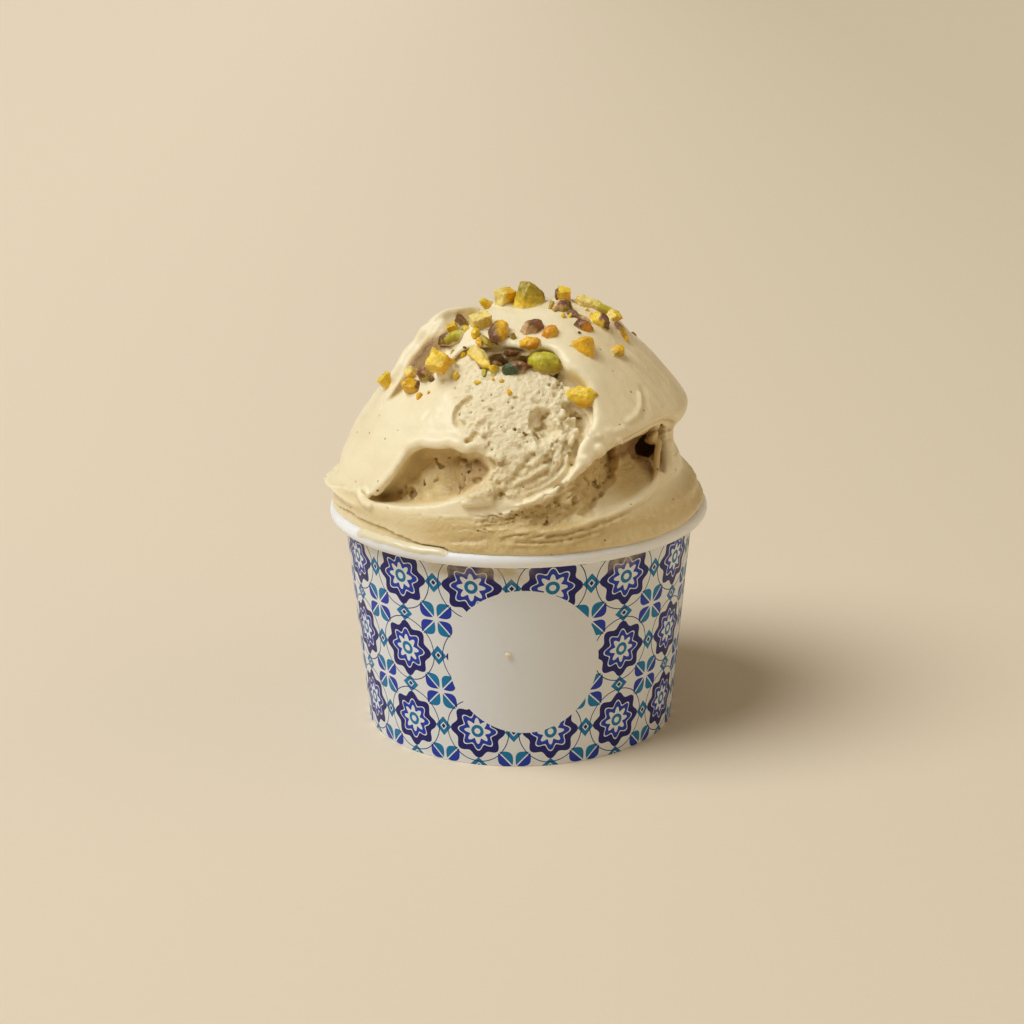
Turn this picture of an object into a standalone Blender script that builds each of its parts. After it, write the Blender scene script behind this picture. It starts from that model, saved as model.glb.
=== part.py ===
"""A paper cup of gelato, heaped above its rim and topped with chopped pistachios.

Metres, +Z up. The origin is the centre of the cup's foot on the table, -Y is the front and +X the right.
Sizes below are in millimetres and become metres where a mesh is made. A place on the heap is given by its
bearing (degrees round the cup from the front, positive to the right) and its rise (degrees above the
horizon), both seen from HEART, the middle of the heap.
"""

import math
import random

import bmesh
import bpy
from mathutils import Matrix, Vector

MM = 0.001
GAP = 0.3

# Paper cup
CUP_HEIGHT = 52.2
RIM_OUTER_RADIUS = 43.5
ROLL_RADIUS = 1.7
FOOT_RADIUS = 36.1
PAPER = 0.5
FOOT_FOLD_HEIGHT = 5.0
CUP_SEGMENTS = 56
ROLL_STEPS = 9

# Bottom disc, whose skirt stands in the fold of the foot
DISC_HEIGHT = 5.0
SKIRT_FOOT = 1.0

# Gelato
HEART = Vector((1.5, 0.0, 56.0))
QUARTER_ARC = 65.0
HEAP_SEGMENTS = 64
HEAP_RINGS = 26
LOWEST_RISE = -4.0
FRONT_CROWDING = 30.0
LOW_CROWDING = 1.35
SMOOTHING_PASSES = 3
SEAT_RADIUS = 42.3

# Half-height of the heap's surface from HEART, by rise, on its four sides
RISES = (-6, 0, 8, 16, 22, 28, 40, 52, 64, 76, 90)
LEFT_REACH = (44.6, 44.4, 42.8, 41.6, 41.0, 40.2, 38.7, 39.9, 42.4, 39.4, 38.8)
FRONT_REACH = (42.2, 42.0, 41.4, 40.8, 40.6, 40.6, 40.8, 40.4, 39.6, 39.2, 38.8)
RIGHT_REACH = (42.0, 39.6, 36.2, 35.6, 36.6, 39.6, 39.0, 39.2, 41.2, 40.9, 38.8)
BACK_REACH = (42.2, 42.0, 41.2, 40.4, 40.2, 40.4, 39.6, 39.2, 39.0, 38.8, 38.8)

# The smooth sheet of cream drawn over the top and the right, with a tail that sweeps down to the left
SHEET_THICKNESS = 2.5
SHEET_EDGE = 2.6
SHEET_OUTLINE = (
    (-38, 44), (-38, 53), (-30, 59), (-8, 60.5), (9, 59.5), (17, 57), (18.5, 51), (24, 45), (26, 40),
    (23, 32), (19, 27), (15, 20), (5, 13.5), (-8, 9.5), (-8, 7.5), (10, 12), (20, 19), (32, 24.5),
    (54, 27.5), (72, 24), (95, 22), (125, 26), (160, 36), (-165, 48), (-140, 70), (-80, 80), (-45, 71),
    (-44, 62), (-45, 54), (-44, 46),
)

# Scooped hollow on the left, and the long gap under the sheet that deepens into a cave on the right
HOLLOW_OUTLINE = (
    (-54, 5), (-47, 12), (-42.5, 20), (-38, 26), (-30, 26), (-22, 27), (-12, 21), (-17, 14), (-26, 9),
    (-42, 4.5),
)
HOLLOW_DEPTH = 7.5
HOLLOW_SLOPE = 6.0
GAP_OUTLINE = (
    (2, 11), (15, 14), (22, 19), (32, 23.5), (44, 26), (58, 26.5), (62, 22), (54, 17), (46, 11), (36, 7.5),
    (24, 4.5), (8, 4.5),
)
GAP_SLOPE = 5.0
GAP_DEPTH_AT_FRONT = 1.5
GAP_DEPTH_AT_CAVE = 7.5
GAP_FRONT_BEARING = 5.0
CAVE_BEARING = 50.0

# Thin lip that the spatula left standing past the rim on the left
LIP_BEARING = -86.0
LIP_RISE = 1.5
LIP_REACH = 2.4
LIP_LENGTH = 20.0
LIP_HALF_HEIGHT = 2.8

# Chopped pistachios: colour, chop, bearing, rise, (length, width, height), turn from the cup's X, roll and
# the share of the height that is sunk in the cream
NUTS = (
    ("yellow", "block", -82.5, 38.5, (3.0, 2.8, 3.0), 20, 10, 0.1),
    ("yellow", "block", -62, 45.5, (2.5, 2.4, 2.3), 0, 0, 0.2),
    ("brown", "wedge", -56.5, 41.5, (5.0, 4.4, 3.8), -50, 10, 0.25),
    ("green", "wedge", -51.5, 47, (4.8, 4.4, 3.8), 40, 20, 0.25),
    ("yellow", "block", -41, 49.5, (4.8, 4.2, 3.8), 62, 0, 0.2),
    ("green", "kernel", -51, 61.5, (8.4, 2.9, 2.7), -8, 0, 0.3),
    ("brown", "wedge", -64.5, 68, (4.6, 3.4, 3.2), -60, 20, 0.2),
    ("yellow", "block", -60, 64.2, (2.4, 2.0, 2.0), 15, 5, 0.2),
    ("yellow", "block", -36, 68, (4.5, 4.0, 3.1), 25, 15, 0.2),
    ("amber", "kernel", -108, 79.5, (2.6, 2.4, 3.6), 0, 0, 0.1),
    ("yellow", "block", -83.5, 84.5, (4.5, 3.3, 4.0), 40, 10, 0.15),
    ("brown", "kernel", -17.5, 65, (7.4, 4.5, 3.5), 78, 10, 0.3),
    ("yellow", "shard", -24, 55.5, (7.4, 3.6, 2.8), -58, 0, 0.2),
    ("green", "wedge", -15, 52, (3.2, 2.8, 2.6), 30, 0, 0.3),
    ("green", "kernel", -4.5, 52.5, (6.4, 3.3, 3.1), 8, 0, 0.3),
    ("brown", "wedge", -8.5, 60, (4.6, 2.6, 2.4), 0, 0, 0.3),
    ("green", "kernel", 10.8, 54, (7.8, 4.9, 4.2), -5, 0, 0.25),
    ("amber", "kernel", 4, 61.5, (5.4, 3.0, 2.8), 0, 0, 0.3),
    ("amber", "kernel", 18.5, 64.5, (4.6, 3.3, 2.8), 50, 0, 0.25),
    ("brown", "kernel", 7, 68, (6.2, 4.1, 3.4), 38, 0, 0.35),
    ("green", "wedge", 37, 87, (8.6, 6.0, 5.9), 10, 0, 0.1),
    ("yellow", "block", 84.5, 78, (3.6, 3.3, 3.5), 0, 15, 0.25),
    ("brown", "kernel", 51.5, 75, (5.2, 2.8, 2.8), 25, 0, 0.2),
    ("green", "shard", 82, 68, (9.0, 3.3, 2.7), -8, 0, 0.2),
    ("yellow", "block", 77.5, 62.2, (2.6, 2.4, 2.4), 30, 10, 0.2),
    ("green", "kernel", 60.5, 63.5, (5.4, 3.6, 3.2), -40, 0, 0.25),
    ("amber", "kernel", 45, 64.5, (5.0, 2.8, 2.4), -15, 0, 0.3),
    ("brown", "shard", 71, 57.2, (5.2, 1.9, 1.7), -42, 0, 0.25),
    ("yellow", "wedge", 32, 56, (7.2, 7.2, 5.1), 60, 0, 0.3),
    ("green", "kernel", 52.5, 52.5, (3.5, 3.0, 2.6), 80, 0, 0.3),
    ("yellow", "kernel", 24, 41, (8.2, 4.6, 4.0), -6, 0, 0.3),
    ("brown", "shard", 51, 68.5, (5.2, 2.2, 1.9), -25, 0, 0.3),
    ("green", "kernel", 150, 47, (6.0, 3.6, 3.2), 30, 0, 0.25),
    ("yellow", "block", -160, 45, (4.4, 3.6, 3.2), 60, 10, 0.2),
    ("brown", "wedge", 172, 38, (5.0, 3.8, 3.2), -20, 0, 0.25),
    ("yellow", "wedge", 127, 42, (4.2, 3.6, 3.2), 10, 0, 0.2),
)
FACET_JITTER = 0.16

COLOURS = {
    "paper": ((0.80, 0.79, 0.76), 0.45),
    "gelato": ((0.78, 0.65, 0.42), 0.50),
    "yellow": ((0.72, 0.50, 0.07), 0.45),
    "green": ((0.36, 0.38, 0.06), 0.45),
    "brown": ((0.20, 0.10, 0.06), 0.50),
    "amber": ((0.62, 0.27, 0.03), 0.30),
}


def clear_scene():
    for thing in list(bpy.data.objects):
        bpy.data.objects.remove(thing, do_unlink=True)


def material(name):
    """A plain Principled material of the named colour."""
    made = bpy.data.materials.get(name)
    if made:
        return made
    colour, roughness = COLOURS[name]
    made = bpy.data.materials.new(name)
    made.use_nodes = True
    shader = made.node_tree.nodes["Principled BSDF"]
    shader.inputs["Base Color"].default_value = (*colour, 1.0)
    shader.inputs["Roughness"].default_value = roughness
    return made


def add_object(name, mesh_tool, colour):
    """Turns the finished bmesh, in millimetres, into a named object in metres."""
    bmesh.ops.scale(mesh_tool, vec=(MM, MM, MM), verts=mesh_tool.verts)
    bmesh.ops.recalc_face_normals(mesh_tool, faces=mesh_tool.faces)
    mesh = bpy.data.meshes.new(name)
    mesh_tool.to_mesh(mesh)
    mesh_tool.free()
    mesh.shade_smooth()
    mesh.set_sharp_from_angle(angle=math.radians(35))
    mesh.materials.append(material(colour))
    made = bpy.data.objects.new(name, mesh)
    bpy.context.scene.collection.objects.link(made)
    return made


def turned(profile, segments, closed):
    """A solid of revolution about the cup's axis, from (radius, height) points."""
    mesh_tool = bmesh.new()
    points = [mesh_tool.verts.new((radius, 0.0, height)) for radius, height in profile]
    pairs = list(zip(points, points[1:]))
    if closed:
        pairs.append((points[-1], points[0]))
    edges = [mesh_tool.edges.new(pair) for pair in pairs]
    bmesh.ops.spin(
        mesh_tool, geom=points + edges, cent=(0, 0, 0), axis=(0, 0, 1), angle=math.tau, steps=segments,
        use_merge=True,
    )
    bmesh.ops.remove_doubles(mesh_tool, verts=mesh_tool.verts, dist=1e-4)
    return mesh_tool


def roll_centre():
    return RIM_OUTER_RADIUS - ROLL_RADIUS, CUP_HEIGHT - ROLL_RADIUS


def inner_wall_radius(height):
    """Radius of the paper wall's inner face, which meets the rolled rim on the rim's inner side."""
    centre_radius, centre_height = roll_centre()
    top = centre_radius - ROLL_RADIUS
    foot = FOOT_RADIUS - PAPER
    return foot + (top - foot) * height / centre_height


def make_cup():
    """The printed sidewall in one sheet: folded in at the foot and rolled outward at the rim."""
    centre_radius, centre_height = roll_centre()
    outer_top = centre_height - 0.9 * ROLL_RADIUS
    fold_outer = FOOT_RADIUS - PAPER - 2 * GAP - PAPER
    profile = [
        (FOOT_RADIUS, 0.0),
        (inner_wall_radius(outer_top) + PAPER, outer_top),
    ]
    first = math.radians(-125)
    last = math.radians(180)
    for step in range(ROLL_STEPS + 1):
        angle = first + (last - first) * step / ROLL_STEPS
        profile.append((
            centre_radius + ROLL_RADIUS * math.cos(angle),
            centre_height + ROLL_RADIUS * math.sin(angle),
        ))
    profile += [
        (inner_wall_radius(PAPER), PAPER),
        (fold_outer, PAPER),
        (fold_outer, FOOT_FOLD_HEIGHT - GAP),
        (fold_outer - PAPER, FOOT_FOLD_HEIGHT - GAP),
        (fold_outer - PAPER, 0.0),
    ]
    return add_object("cup", turned(profile, CUP_SEGMENTS, closed=True), "paper")


def make_cup_base():
    """The bottom disc and its skirt, which stands between the wall and the foot's inner fold."""
    skirt_foot_outer = inner_wall_radius(SKIRT_FOOT) - GAP
    skirt_inner = FOOT_RADIUS - PAPER - GAP - PAPER
    profile = [
        (0.0, DISC_HEIGHT + PAPER),
        (inner_wall_radius(DISC_HEIGHT) - GAP, DISC_HEIGHT + PAPER),
        (skirt_foot_outer, SKIRT_FOOT),
        (skirt_inner, SKIRT_FOOT),
        (skirt_inner, DISC_HEIGHT),
        (0.0, DISC_HEIGHT),
    ]
    return add_object("cup_base", turned(profile, CUP_SEGMENTS, closed=False), "paper")


def on_map(bearing, rise):
    """The heap unrolled flat from its top: distance from the centre is arc length, the front is +y."""
    distance = QUARTER_ARC * (90.0 - rise) / 90.0
    angle = math.radians(bearing)
    return Vector((distance * math.sin(angle), distance * math.cos(angle)))


def depth_inside(outline, place):
    """How far a map place lies inside an outline, in millimetres, and zero outside."""
    nearest = math.inf
    inside = False
    corners = [on_map(*corner) for corner in outline]
    for start, end in zip(corners, corners[1:] + corners[:1]):
        along = end - start
        share = max(0.0, min(1.0, (place - start).dot(along) / along.length_squared))
        nearest = min(nearest, (place - start - along * share).length)
        if (start.y > place.y) != (end.y > place.y):
            crossing = start.x + (place.y - start.y) / (end.y - start.y) * along.x
            inside ^= place.x < crossing
    return nearest if inside else 0.0


def round_step(depth, width):
    """Rises from 0 to 1 over the width with a rounded, full edge."""
    share = min(1.0, depth / width)
    return math.sqrt(1.0 - (1.0 - share) ** 2)


def smooth_step(value, low, high):
    share = max(0.0, min(1.0, (value - low) / (high - low)))
    return share * share * (3.0 - 2.0 * share)


def side_reach(reaches, rise):
    """Reads one side's profile at a rise, with a smooth blend between its stations."""
    rise = max(RISES[0], min(RISES[-1], rise))
    for index in range(len(RISES) - 1):
        if rise <= RISES[index + 1]:
            break
    share = smooth_step(rise, RISES[index], RISES[index + 1])
    return reaches[index] + (reaches[index + 1] - reaches[index]) * share


def heap_reach(bearing, rise):
    """Distance from HEART to the gelato's surface."""
    angle = math.radians(bearing)
    front = max(0.0, math.cos(angle)) ** 2
    back = max(0.0, -math.cos(angle)) ** 2
    right = max(0.0, math.sin(angle)) ** 2
    left = max(0.0, -math.sin(angle)) ** 2
    reach = (
        front * side_reach(FRONT_REACH, rise) + back * side_reach(BACK_REACH, rise)
        + right * side_reach(RIGHT_REACH, rise) + left * side_reach(LEFT_REACH, rise)
    )
    place = on_map(bearing, rise)
    reach += SHEET_THICKNESS * round_step(depth_inside(SHEET_OUTLINE, place), SHEET_EDGE)
    reach -= HOLLOW_DEPTH * smooth_step(depth_inside(HOLLOW_OUTLINE, place), 0.0, HOLLOW_SLOPE)
    towards_cave = smooth_step(bearing, GAP_FRONT_BEARING, CAVE_BEARING)
    gap_depth = GAP_DEPTH_AT_FRONT + (GAP_DEPTH_AT_CAVE - GAP_DEPTH_AT_FRONT) * towards_cave
    reach -= gap_depth * smooth_step(depth_inside(GAP_OUTLINE, place), 0.0, GAP_SLOPE)
    across = (bearing - LIP_BEARING) / LIP_LENGTH
    above = (rise - LIP_RISE) / LIP_HALF_HEIGHT
    reach += LIP_REACH * math.exp(-across * across - above * above)
    return reach


def direction(bearing, rise):
    turn = math.radians(bearing)
    lift = math.radians(rise)
    return Vector((math.cos(lift) * math.sin(turn), -math.cos(lift) * math.cos(turn), math.sin(lift)))


def on_heap(bearing, rise):
    return HEART + direction(bearing, rise) * heap_reach(bearing, rise)


def make_gelato():
    """One solid from the bottom disc to the top of the heap, standing clear of the paper by GAP."""
    mesh_tool = bmesh.new()
    bearings = []
    for step in range(HEAP_SEGMENTS):
        even = 360.0 * step / HEAP_SEGMENTS - 180.0
        bearings.append(even - FRONT_CROWDING * math.sin(math.radians(even)))
    rings = []
    for index in reversed(range(HEAP_RINGS)):
        rise = LOWEST_RISE + (90.0 - LOWEST_RISE) * (index / HEAP_RINGS) ** LOW_CROWDING
        rings.append([on_heap(bearing, rise) for bearing in bearings])

    centre_radius, centre_height = roll_centre()
    clear = ROLL_RADIUS + GAP
    shoulder = clear * math.sqrt(0.5)
    bottom = DISC_HEIGHT + PAPER + GAP
    for radius, height in (
        (SEAT_RADIUS, centre_height + clear + 0.15),
        (centre_radius, centre_height + clear + 0.05),
        (centre_radius - shoulder, centre_height + shoulder),
        (centre_radius - clear, centre_height),
        (inner_wall_radius(bottom) - GAP, bottom),
    ):
        rings.append([
            Vector((radius * math.sin(math.radians(b)), -radius * math.cos(math.radians(b)), height))
            for b in bearings
        ])

    loops = [[mesh_tool.verts.new(point) for point in ring] for ring in rings]
    for upper, lower in zip(loops, loops[1:]):
        for index in range(HEAP_SEGMENTS):
            following = (index + 1) % HEAP_SEGMENTS
            mesh_tool.faces.new((upper[index], lower[index], lower[following], upper[following]))
    crown = mesh_tool.verts.new(on_heap(0.0, 90.0))
    for index in range(HEAP_SEGMENTS):
        mesh_tool.faces.new((crown, loops[0][index], loops[0][(index + 1) % HEAP_SEGMENTS]))
    mesh_tool.faces.new(loops[-1])
    heaped = [vertex for loop in loops[:HEAP_RINGS - 1] for vertex in loop]
    for _ in range(SMOOTHING_PASSES):
        bmesh.ops.smooth_vert(
            mesh_tool, verts=heaped, factor=0.5, use_axis_x=True, use_axis_y=True, use_axis_z=True
        )
    return add_object("gelato", mesh_tool, "gelato")


def block_points(chance):
    """The corners of a chopped cube, each knocked a little out of square."""
    return [
        Vector((x, y, z)) * (0.5 - FACET_JITTER * chance.random())
        + Vector([chance.uniform(-0.5, 0.5) * FACET_JITTER for _ in range(3)])
        for x in (-1, 1) for y in (-1, 1) for z in (-1, 1)
    ]


def wedge_points(chance):
    """A broken corner of a nut: a wide foot that narrows to a blunt ridge."""
    foot = [
        Vector((0.5 * math.cos(turn), 0.5 * math.sin(turn), -0.5)) * (1.0 - FACET_JITTER * chance.random())
        for turn in (math.radians(60 * step + 20 * chance.random()) for step in range(6))
    ]
    belly = [Vector((point.x * 0.9, point.y * 0.9, 0.0)) for point in foot[::2]]
    ridge = [Vector((-0.16, 0.05, 0.5)), Vector((0.1, -0.1, 0.47)), Vector((0.0, 0.14, 0.42))]
    return foot + belly + ridge


def kernel_points(chance):
    """Half a nut: a long rounded back over a flat cut face."""
    points = []
    for turn_step in range(7):
        turn = math.tau * turn_step / 7
        for height, width in ((-0.5, 0.82), (-0.15, 1.0), (0.25, 0.78), (0.46, 0.4)):
            reach = 0.5 * width * (1.0 - 0.5 * FACET_JITTER * chance.random())
            points.append(Vector((reach * math.cos(turn), reach * math.sin(turn), height)))
    return points


def shard_points(chance):
    """A long splinter, pointed at one end."""
    points = [Vector((0.5, 0.05, 0.1)), Vector((0.42, -0.12, -0.2))]
    for along, size in ((-0.5, 0.3), (-0.35, 0.46), (0.05, 0.44), (0.25, 0.3)):
        for turn_step in range(5):
            turn = math.tau * (turn_step + 0.5 * chance.random()) / 5
            points.append(Vector((along, size * math.cos(turn), size * math.sin(turn))))
    return points


CHOPS = {"block": block_points, "wedge": wedge_points, "kernel": kernel_points, "shard": shard_points}


def nut_placement(bearing, rise, size, turn, roll, sunk):
    """Stands a nut on the heap's surface, facing outward, turned and sunk a little into the cream."""
    step = 2.0
    spread = step / max(0.15, math.cos(math.radians(rise)))
    eastward = on_heap(bearing + spread, rise) - on_heap(bearing - spread, rise)
    uphill = on_heap(bearing, rise + step) - on_heap(bearing, rise - step)
    outward = eastward.cross(uphill).normalized()
    sideways = Vector((1.0, 0.0, 0.0)) - outward * outward.x
    sideways.normalize()
    frame = Matrix((sideways, outward.cross(sideways), outward)).transposed().to_4x4()
    lift = size[2] * (0.5 - sunk)
    return (
        Matrix.Translation(on_heap(bearing, rise) + outward * lift) @ frame
        @ Matrix.Rotation(math.radians(turn), 4, "Z") @ Matrix.Rotation(math.radians(roll), 4, "X")
    )


def hull(points, size, growth, placement):
    """The convex solid round the points, grown outward by a margin."""
    mesh_tool = bmesh.new()
    grown = Vector([extent + 2.0 * growth for extent in size])
    corners = [
        mesh_tool.verts.new(placement @ Vector([value * extent for value, extent in zip(point, grown)]))
        for point in points
    ]
    made = bmesh.ops.convex_hull(mesh_tool, input=corners, use_existing_faces=False)
    spare = [thing for thing in made["geom_interior"] if isinstance(thing, bmesh.types.BMVert)]
    bmesh.ops.delete(mesh_tool, geom=spare, context="VERTS")
    return mesh_tool


def make_nuts(gelato):
    """Every nut as its own solid, in a pocket of the cream that stands GAP clear of it."""
    for number, (colour, chop, bearing, rise, size, turn, roll, sunk) in enumerate(NUTS, start=1):
        chance = random.Random(number)
        points = CHOPS[chop](chance)
        placement = nut_placement(bearing, rise, size, turn, roll, sunk)
        name = f"pistachio_{number:02d}"
        add_object(name, hull(points, size, 0.0, placement), colour)
        pocket = add_object(f"pocket_{number:02d}", hull(points, size, 1.6 * GAP, placement), "gelato")
        pocket.hide_render = True
        pocket.display_type = "WIRE"
        cut = gelato.modifiers.new(pocket.name, "BOOLEAN")
        cut.operation = "DIFFERENCE"
        cut.object = pocket


clear_scene()
make_cup()
make_cup_base()
make_nuts(make_gelato())
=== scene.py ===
"""A printed paper cup heaped with pistachio gelato, topped with chopped pistachios, on a pale table.

The cup's axis is Z, its front is -Y. Sizes are in millimetres until a mesh is made. Places on the heap are
given by bearing (degrees round the cup from the front, positive to the right) and rise (degrees above the
horizon), seen from HEART, the middle of the heap.
"""

import math

import bmesh
import bpy
import numpy as np
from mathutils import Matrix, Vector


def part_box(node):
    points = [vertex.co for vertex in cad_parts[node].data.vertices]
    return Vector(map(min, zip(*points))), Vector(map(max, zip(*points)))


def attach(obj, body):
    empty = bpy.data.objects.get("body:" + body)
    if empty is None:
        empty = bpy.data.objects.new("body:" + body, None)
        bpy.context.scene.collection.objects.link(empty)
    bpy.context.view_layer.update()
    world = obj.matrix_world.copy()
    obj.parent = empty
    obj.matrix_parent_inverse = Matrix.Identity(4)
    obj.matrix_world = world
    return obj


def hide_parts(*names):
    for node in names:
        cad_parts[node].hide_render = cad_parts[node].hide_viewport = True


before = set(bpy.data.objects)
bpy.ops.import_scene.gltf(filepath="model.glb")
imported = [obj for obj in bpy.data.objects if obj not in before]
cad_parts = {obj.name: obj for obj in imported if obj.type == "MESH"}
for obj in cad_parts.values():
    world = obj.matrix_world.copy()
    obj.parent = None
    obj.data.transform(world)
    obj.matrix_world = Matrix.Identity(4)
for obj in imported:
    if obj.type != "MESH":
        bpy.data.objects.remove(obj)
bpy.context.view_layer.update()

import openvdb
from mathutils import Matrix, Vector
from mathutils.bvhtree import BVHTree

MM = 0.001

# Cup
CUP_HEIGHT = 52.2
RIM_OUTER_RADIUS = 43.5
ROLL_RADIUS = 1.7
FOOT_RADIUS = 36.1
PAPER = 0.5
DISC_HEIGHT = 5.0
FOLD_HEIGHT = 4.65
LAP_TOP = 47.5
WALL_TOP = 48.2
PRINT_TOP = 48.6
CURL_BOTTOM = 49.5
ROLL_CENTRE = (RIM_OUTER_RADIUS - ROLL_RADIUS, CUP_HEIGHT - ROLL_RADIUS)

# Heap: the way along its map from the top to the horizon, and its reach from HEART by rise on each side
HEART = np.array((1.5, 0.0, 56.0), dtype=np.float32)
QUARTER_ARC = 65.0
RISES = (-6, 0, 8, 16, 22, 28, 40, 52, 64, 76, 90)
LEFT_REACH = (44.8, 43.7, 42.6, 41.6, 41.0, 40.2, 38.7, 39.9, 42.4, 39.4, 38.8)
FRONT_REACH = (43.4, 42.4, 41.4, 40.8, 40.6, 40.6, 40.8, 40.4, 39.6, 39.2, 38.8)
RIGHT_REACH = (42.0, 39.6, 36.2, 35.6, 36.6, 39.6, 39.0, 39.2, 41.2, 40.9, 38.8)
BACK_REACH = (42.2, 42.0, 41.2, 40.4, 40.2, 40.4, 39.6, 39.2, 39.0, 38.8, 38.8)

# Lip that the spatula left standing past the rim on the left
LIP_BEARING = -86.0
LIP_RISE = 1.9
LIP_REACH = 2.2
LIP_LENGTH = 22.0
LIP_SPREAD_ABOVE = 1.0
LIP_SPREAD_BELOW = 1.6


def step_up(value, low, high):
    """0 below low, 1 above high, and a smooth rise between."""
    share = np.clip((value - low) / (high - low), 0.0, 1.0)
    return share * share * (3.0 - 2.0 * share)


def soft_min(a, b, blend):
    """The union of two solids, with a fillet of about the blend's size."""
    share = np.clip(0.5 + 0.5 * (b - a) / blend, 0.0, 1.0)
    return b + (a - b) * share - blend * share * (1.0 - share)


def soft_max(a, b, blend):
    """What two solids share, with a fillet of about the blend's size."""
    return -soft_min(-a, -b, blend)


def inner_wall_radius(height):
    """Radius of the wall's inner face at a height."""
    top = ROLL_CENTRE[0] - ROLL_RADIUS
    foot = FOOT_RADIUS - PAPER
    return foot + (top - foot) * height / ROLL_CENTRE[1]


def way_towards(bearing, rise):
    """The unit vector that points at a bearing and a rise."""
    turn, tilt = math.radians(bearing), math.radians(rise)
    return Vector((math.cos(tilt) * math.sin(turn), -math.cos(tilt) * math.cos(turn), math.sin(tilt)))


# ---------------------------------------------------------------------------------------------------------
# The heap unrolled: a flat map whose centre is the top of the heap and whose +v is the front

MAP_REACH = 78.0
MAP_STEP = 0.4
MAP_TICKS = np.arange(-MAP_REACH, MAP_REACH + MAP_STEP, MAP_STEP, dtype=np.float32)
MAP_U, MAP_V = np.meshgrid(MAP_TICKS, MAP_TICKS, indexing="ij")
MAP_BEARING = np.degrees(np.arctan2(MAP_U, MAP_V))
MAP_RISE = 90.0 - np.hypot(MAP_U, MAP_V) * 90.0 / QUARTER_ARC


def on_map(bearing, rise):
    """Map points from bearings and rises."""
    distance = QUARTER_ARC * (90.0 - np.asarray(rise, dtype=float)) / 90.0
    angle = np.radians(bearing)
    return np.stack([distance * np.sin(angle), distance * np.cos(angle)], axis=-1)


def curve_through(corners, closed=False, pieces=5):
    """A smooth line through (bearing, rise) corners, as map points."""
    knots = on_map(*np.array(corners, dtype=float).T)
    if closed:
        knots = np.concatenate([knots[-1:], knots, knots[:2]])
    else:
        knots = np.concatenate([2 * knots[:1] - knots[1:2], knots, 2 * knots[-1:] - knots[-2:-1]])
    share = np.arange(pieces)[:, None] / pieces
    line = []
    for a, b, c, d in zip(knots, knots[1:], knots[2:], knots[3:]):
        line.append(0.5 * (
            2 * b + (c - a) * share + (2 * a - 5 * b + 4 * c - d) * share ** 2
            + (3 * b - a - 3 * c + d) * share ** 3
        ))
    line = np.concatenate(line)
    return line if closed else np.concatenate([line, knots[-2:-1]])


def distance_map(line, reach):
    """How far each place on the map is from a line, up to reach."""
    distance = np.full(MAP_U.shape, reach, dtype=np.float32)
    for start, end in zip(line, line[1:]):
        low = np.searchsorted(MAP_TICKS, np.minimum(start, end) - reach)
        high = np.searchsorted(MAP_TICKS, np.maximum(start, end) + reach)
        window = (slice(low[0], high[0]), slice(low[1], high[1]))
        along = end - start
        u = MAP_U[window] - start[0]
        v = MAP_V[window] - start[1]
        share = np.clip((u * along[0] + v * along[1]) / max(along @ along, 1e-9), 0.0, 1.0)
        here = np.hypot(u - share * along[0], v - share * along[1])
        distance[window] = np.minimum(distance[window], here)
    return distance


def depth_map(corners, reach=10.0):
    """Depth inside a smooth outline, negative outside it."""
    line = curve_through(corners, closed=True)
    line = np.concatenate([line, line[:1]])
    inside = np.zeros(MAP_U.shape, dtype=bool)
    for start, end in zip(line, line[1:]):
        if start[1] == end[1]:
            continue
        crosses = (start[1] > MAP_V) != (end[1] > MAP_V)
        at = start[0] + (MAP_V - start[1]) / (end[1] - start[1]) * (end[0] - start[0])
        inside ^= crosses & (MAP_U < at)
    distance = distance_map(line, reach)
    return np.where(inside, distance, -distance)


def read_map(table, u, v):
    """Reads a map between its points."""
    x = np.clip((u + MAP_REACH) / MAP_STEP, 0, len(MAP_TICKS) - 1.001)
    y = np.clip((v + MAP_REACH) / MAP_STEP, 0, len(MAP_TICKS) - 1.001)
    i = x.astype(np.int32)
    j = y.astype(np.int32)
    x = (x - i).astype(np.float32)
    y = (y - j).astype(np.float32)
    return (
        table[i, j] * (1 - x) * (1 - y) + table[i + 1, j] * x * (1 - y)
        + table[i, j + 1] * (1 - x) * y + table[i + 1, j + 1] * x * y
    )


def side_profile(reaches):
    """One side's reach by rise over the whole map, smooth between its stations."""
    rise = np.clip(MAP_RISE, RISES[0], RISES[-1])
    place = np.interp(rise, RISES, range(len(RISES)))
    index = np.minimum(place.astype(int), len(RISES) - 2)
    share = place - index
    share = share * share * (3.0 - 2.0 * share)
    reaches = np.array(reaches)
    return reaches[index] + (reaches[index + 1] - reaches[index]) * share


def rolled_heap():
    """Reach of the plain heap, before anything is laid on it or scooped from it."""
    front = np.maximum(0.0, np.cos(np.radians(MAP_BEARING))) ** 2
    back = np.maximum(0.0, -np.cos(np.radians(MAP_BEARING))) ** 2
    right = np.maximum(0.0, np.sin(np.radians(MAP_BEARING))) ** 2
    left = np.maximum(0.0, -np.sin(np.radians(MAP_BEARING))) ** 2
    reach = (
        front * side_profile(FRONT_REACH) + back * side_profile(BACK_REACH)
        + right * side_profile(RIGHT_REACH) + left * side_profile(LEFT_REACH)
    )
    above = MAP_RISE - LIP_RISE
    across = (MAP_BEARING - LIP_BEARING) / LIP_LENGTH
    spread = np.where(above > 0.0, LIP_SPREAD_ABOVE, LIP_SPREAD_BELOW)
    reach += LIP_REACH * np.exp(-across ** 2 - (above / spread) ** 2)
    return reach.astype(np.float32)


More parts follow.
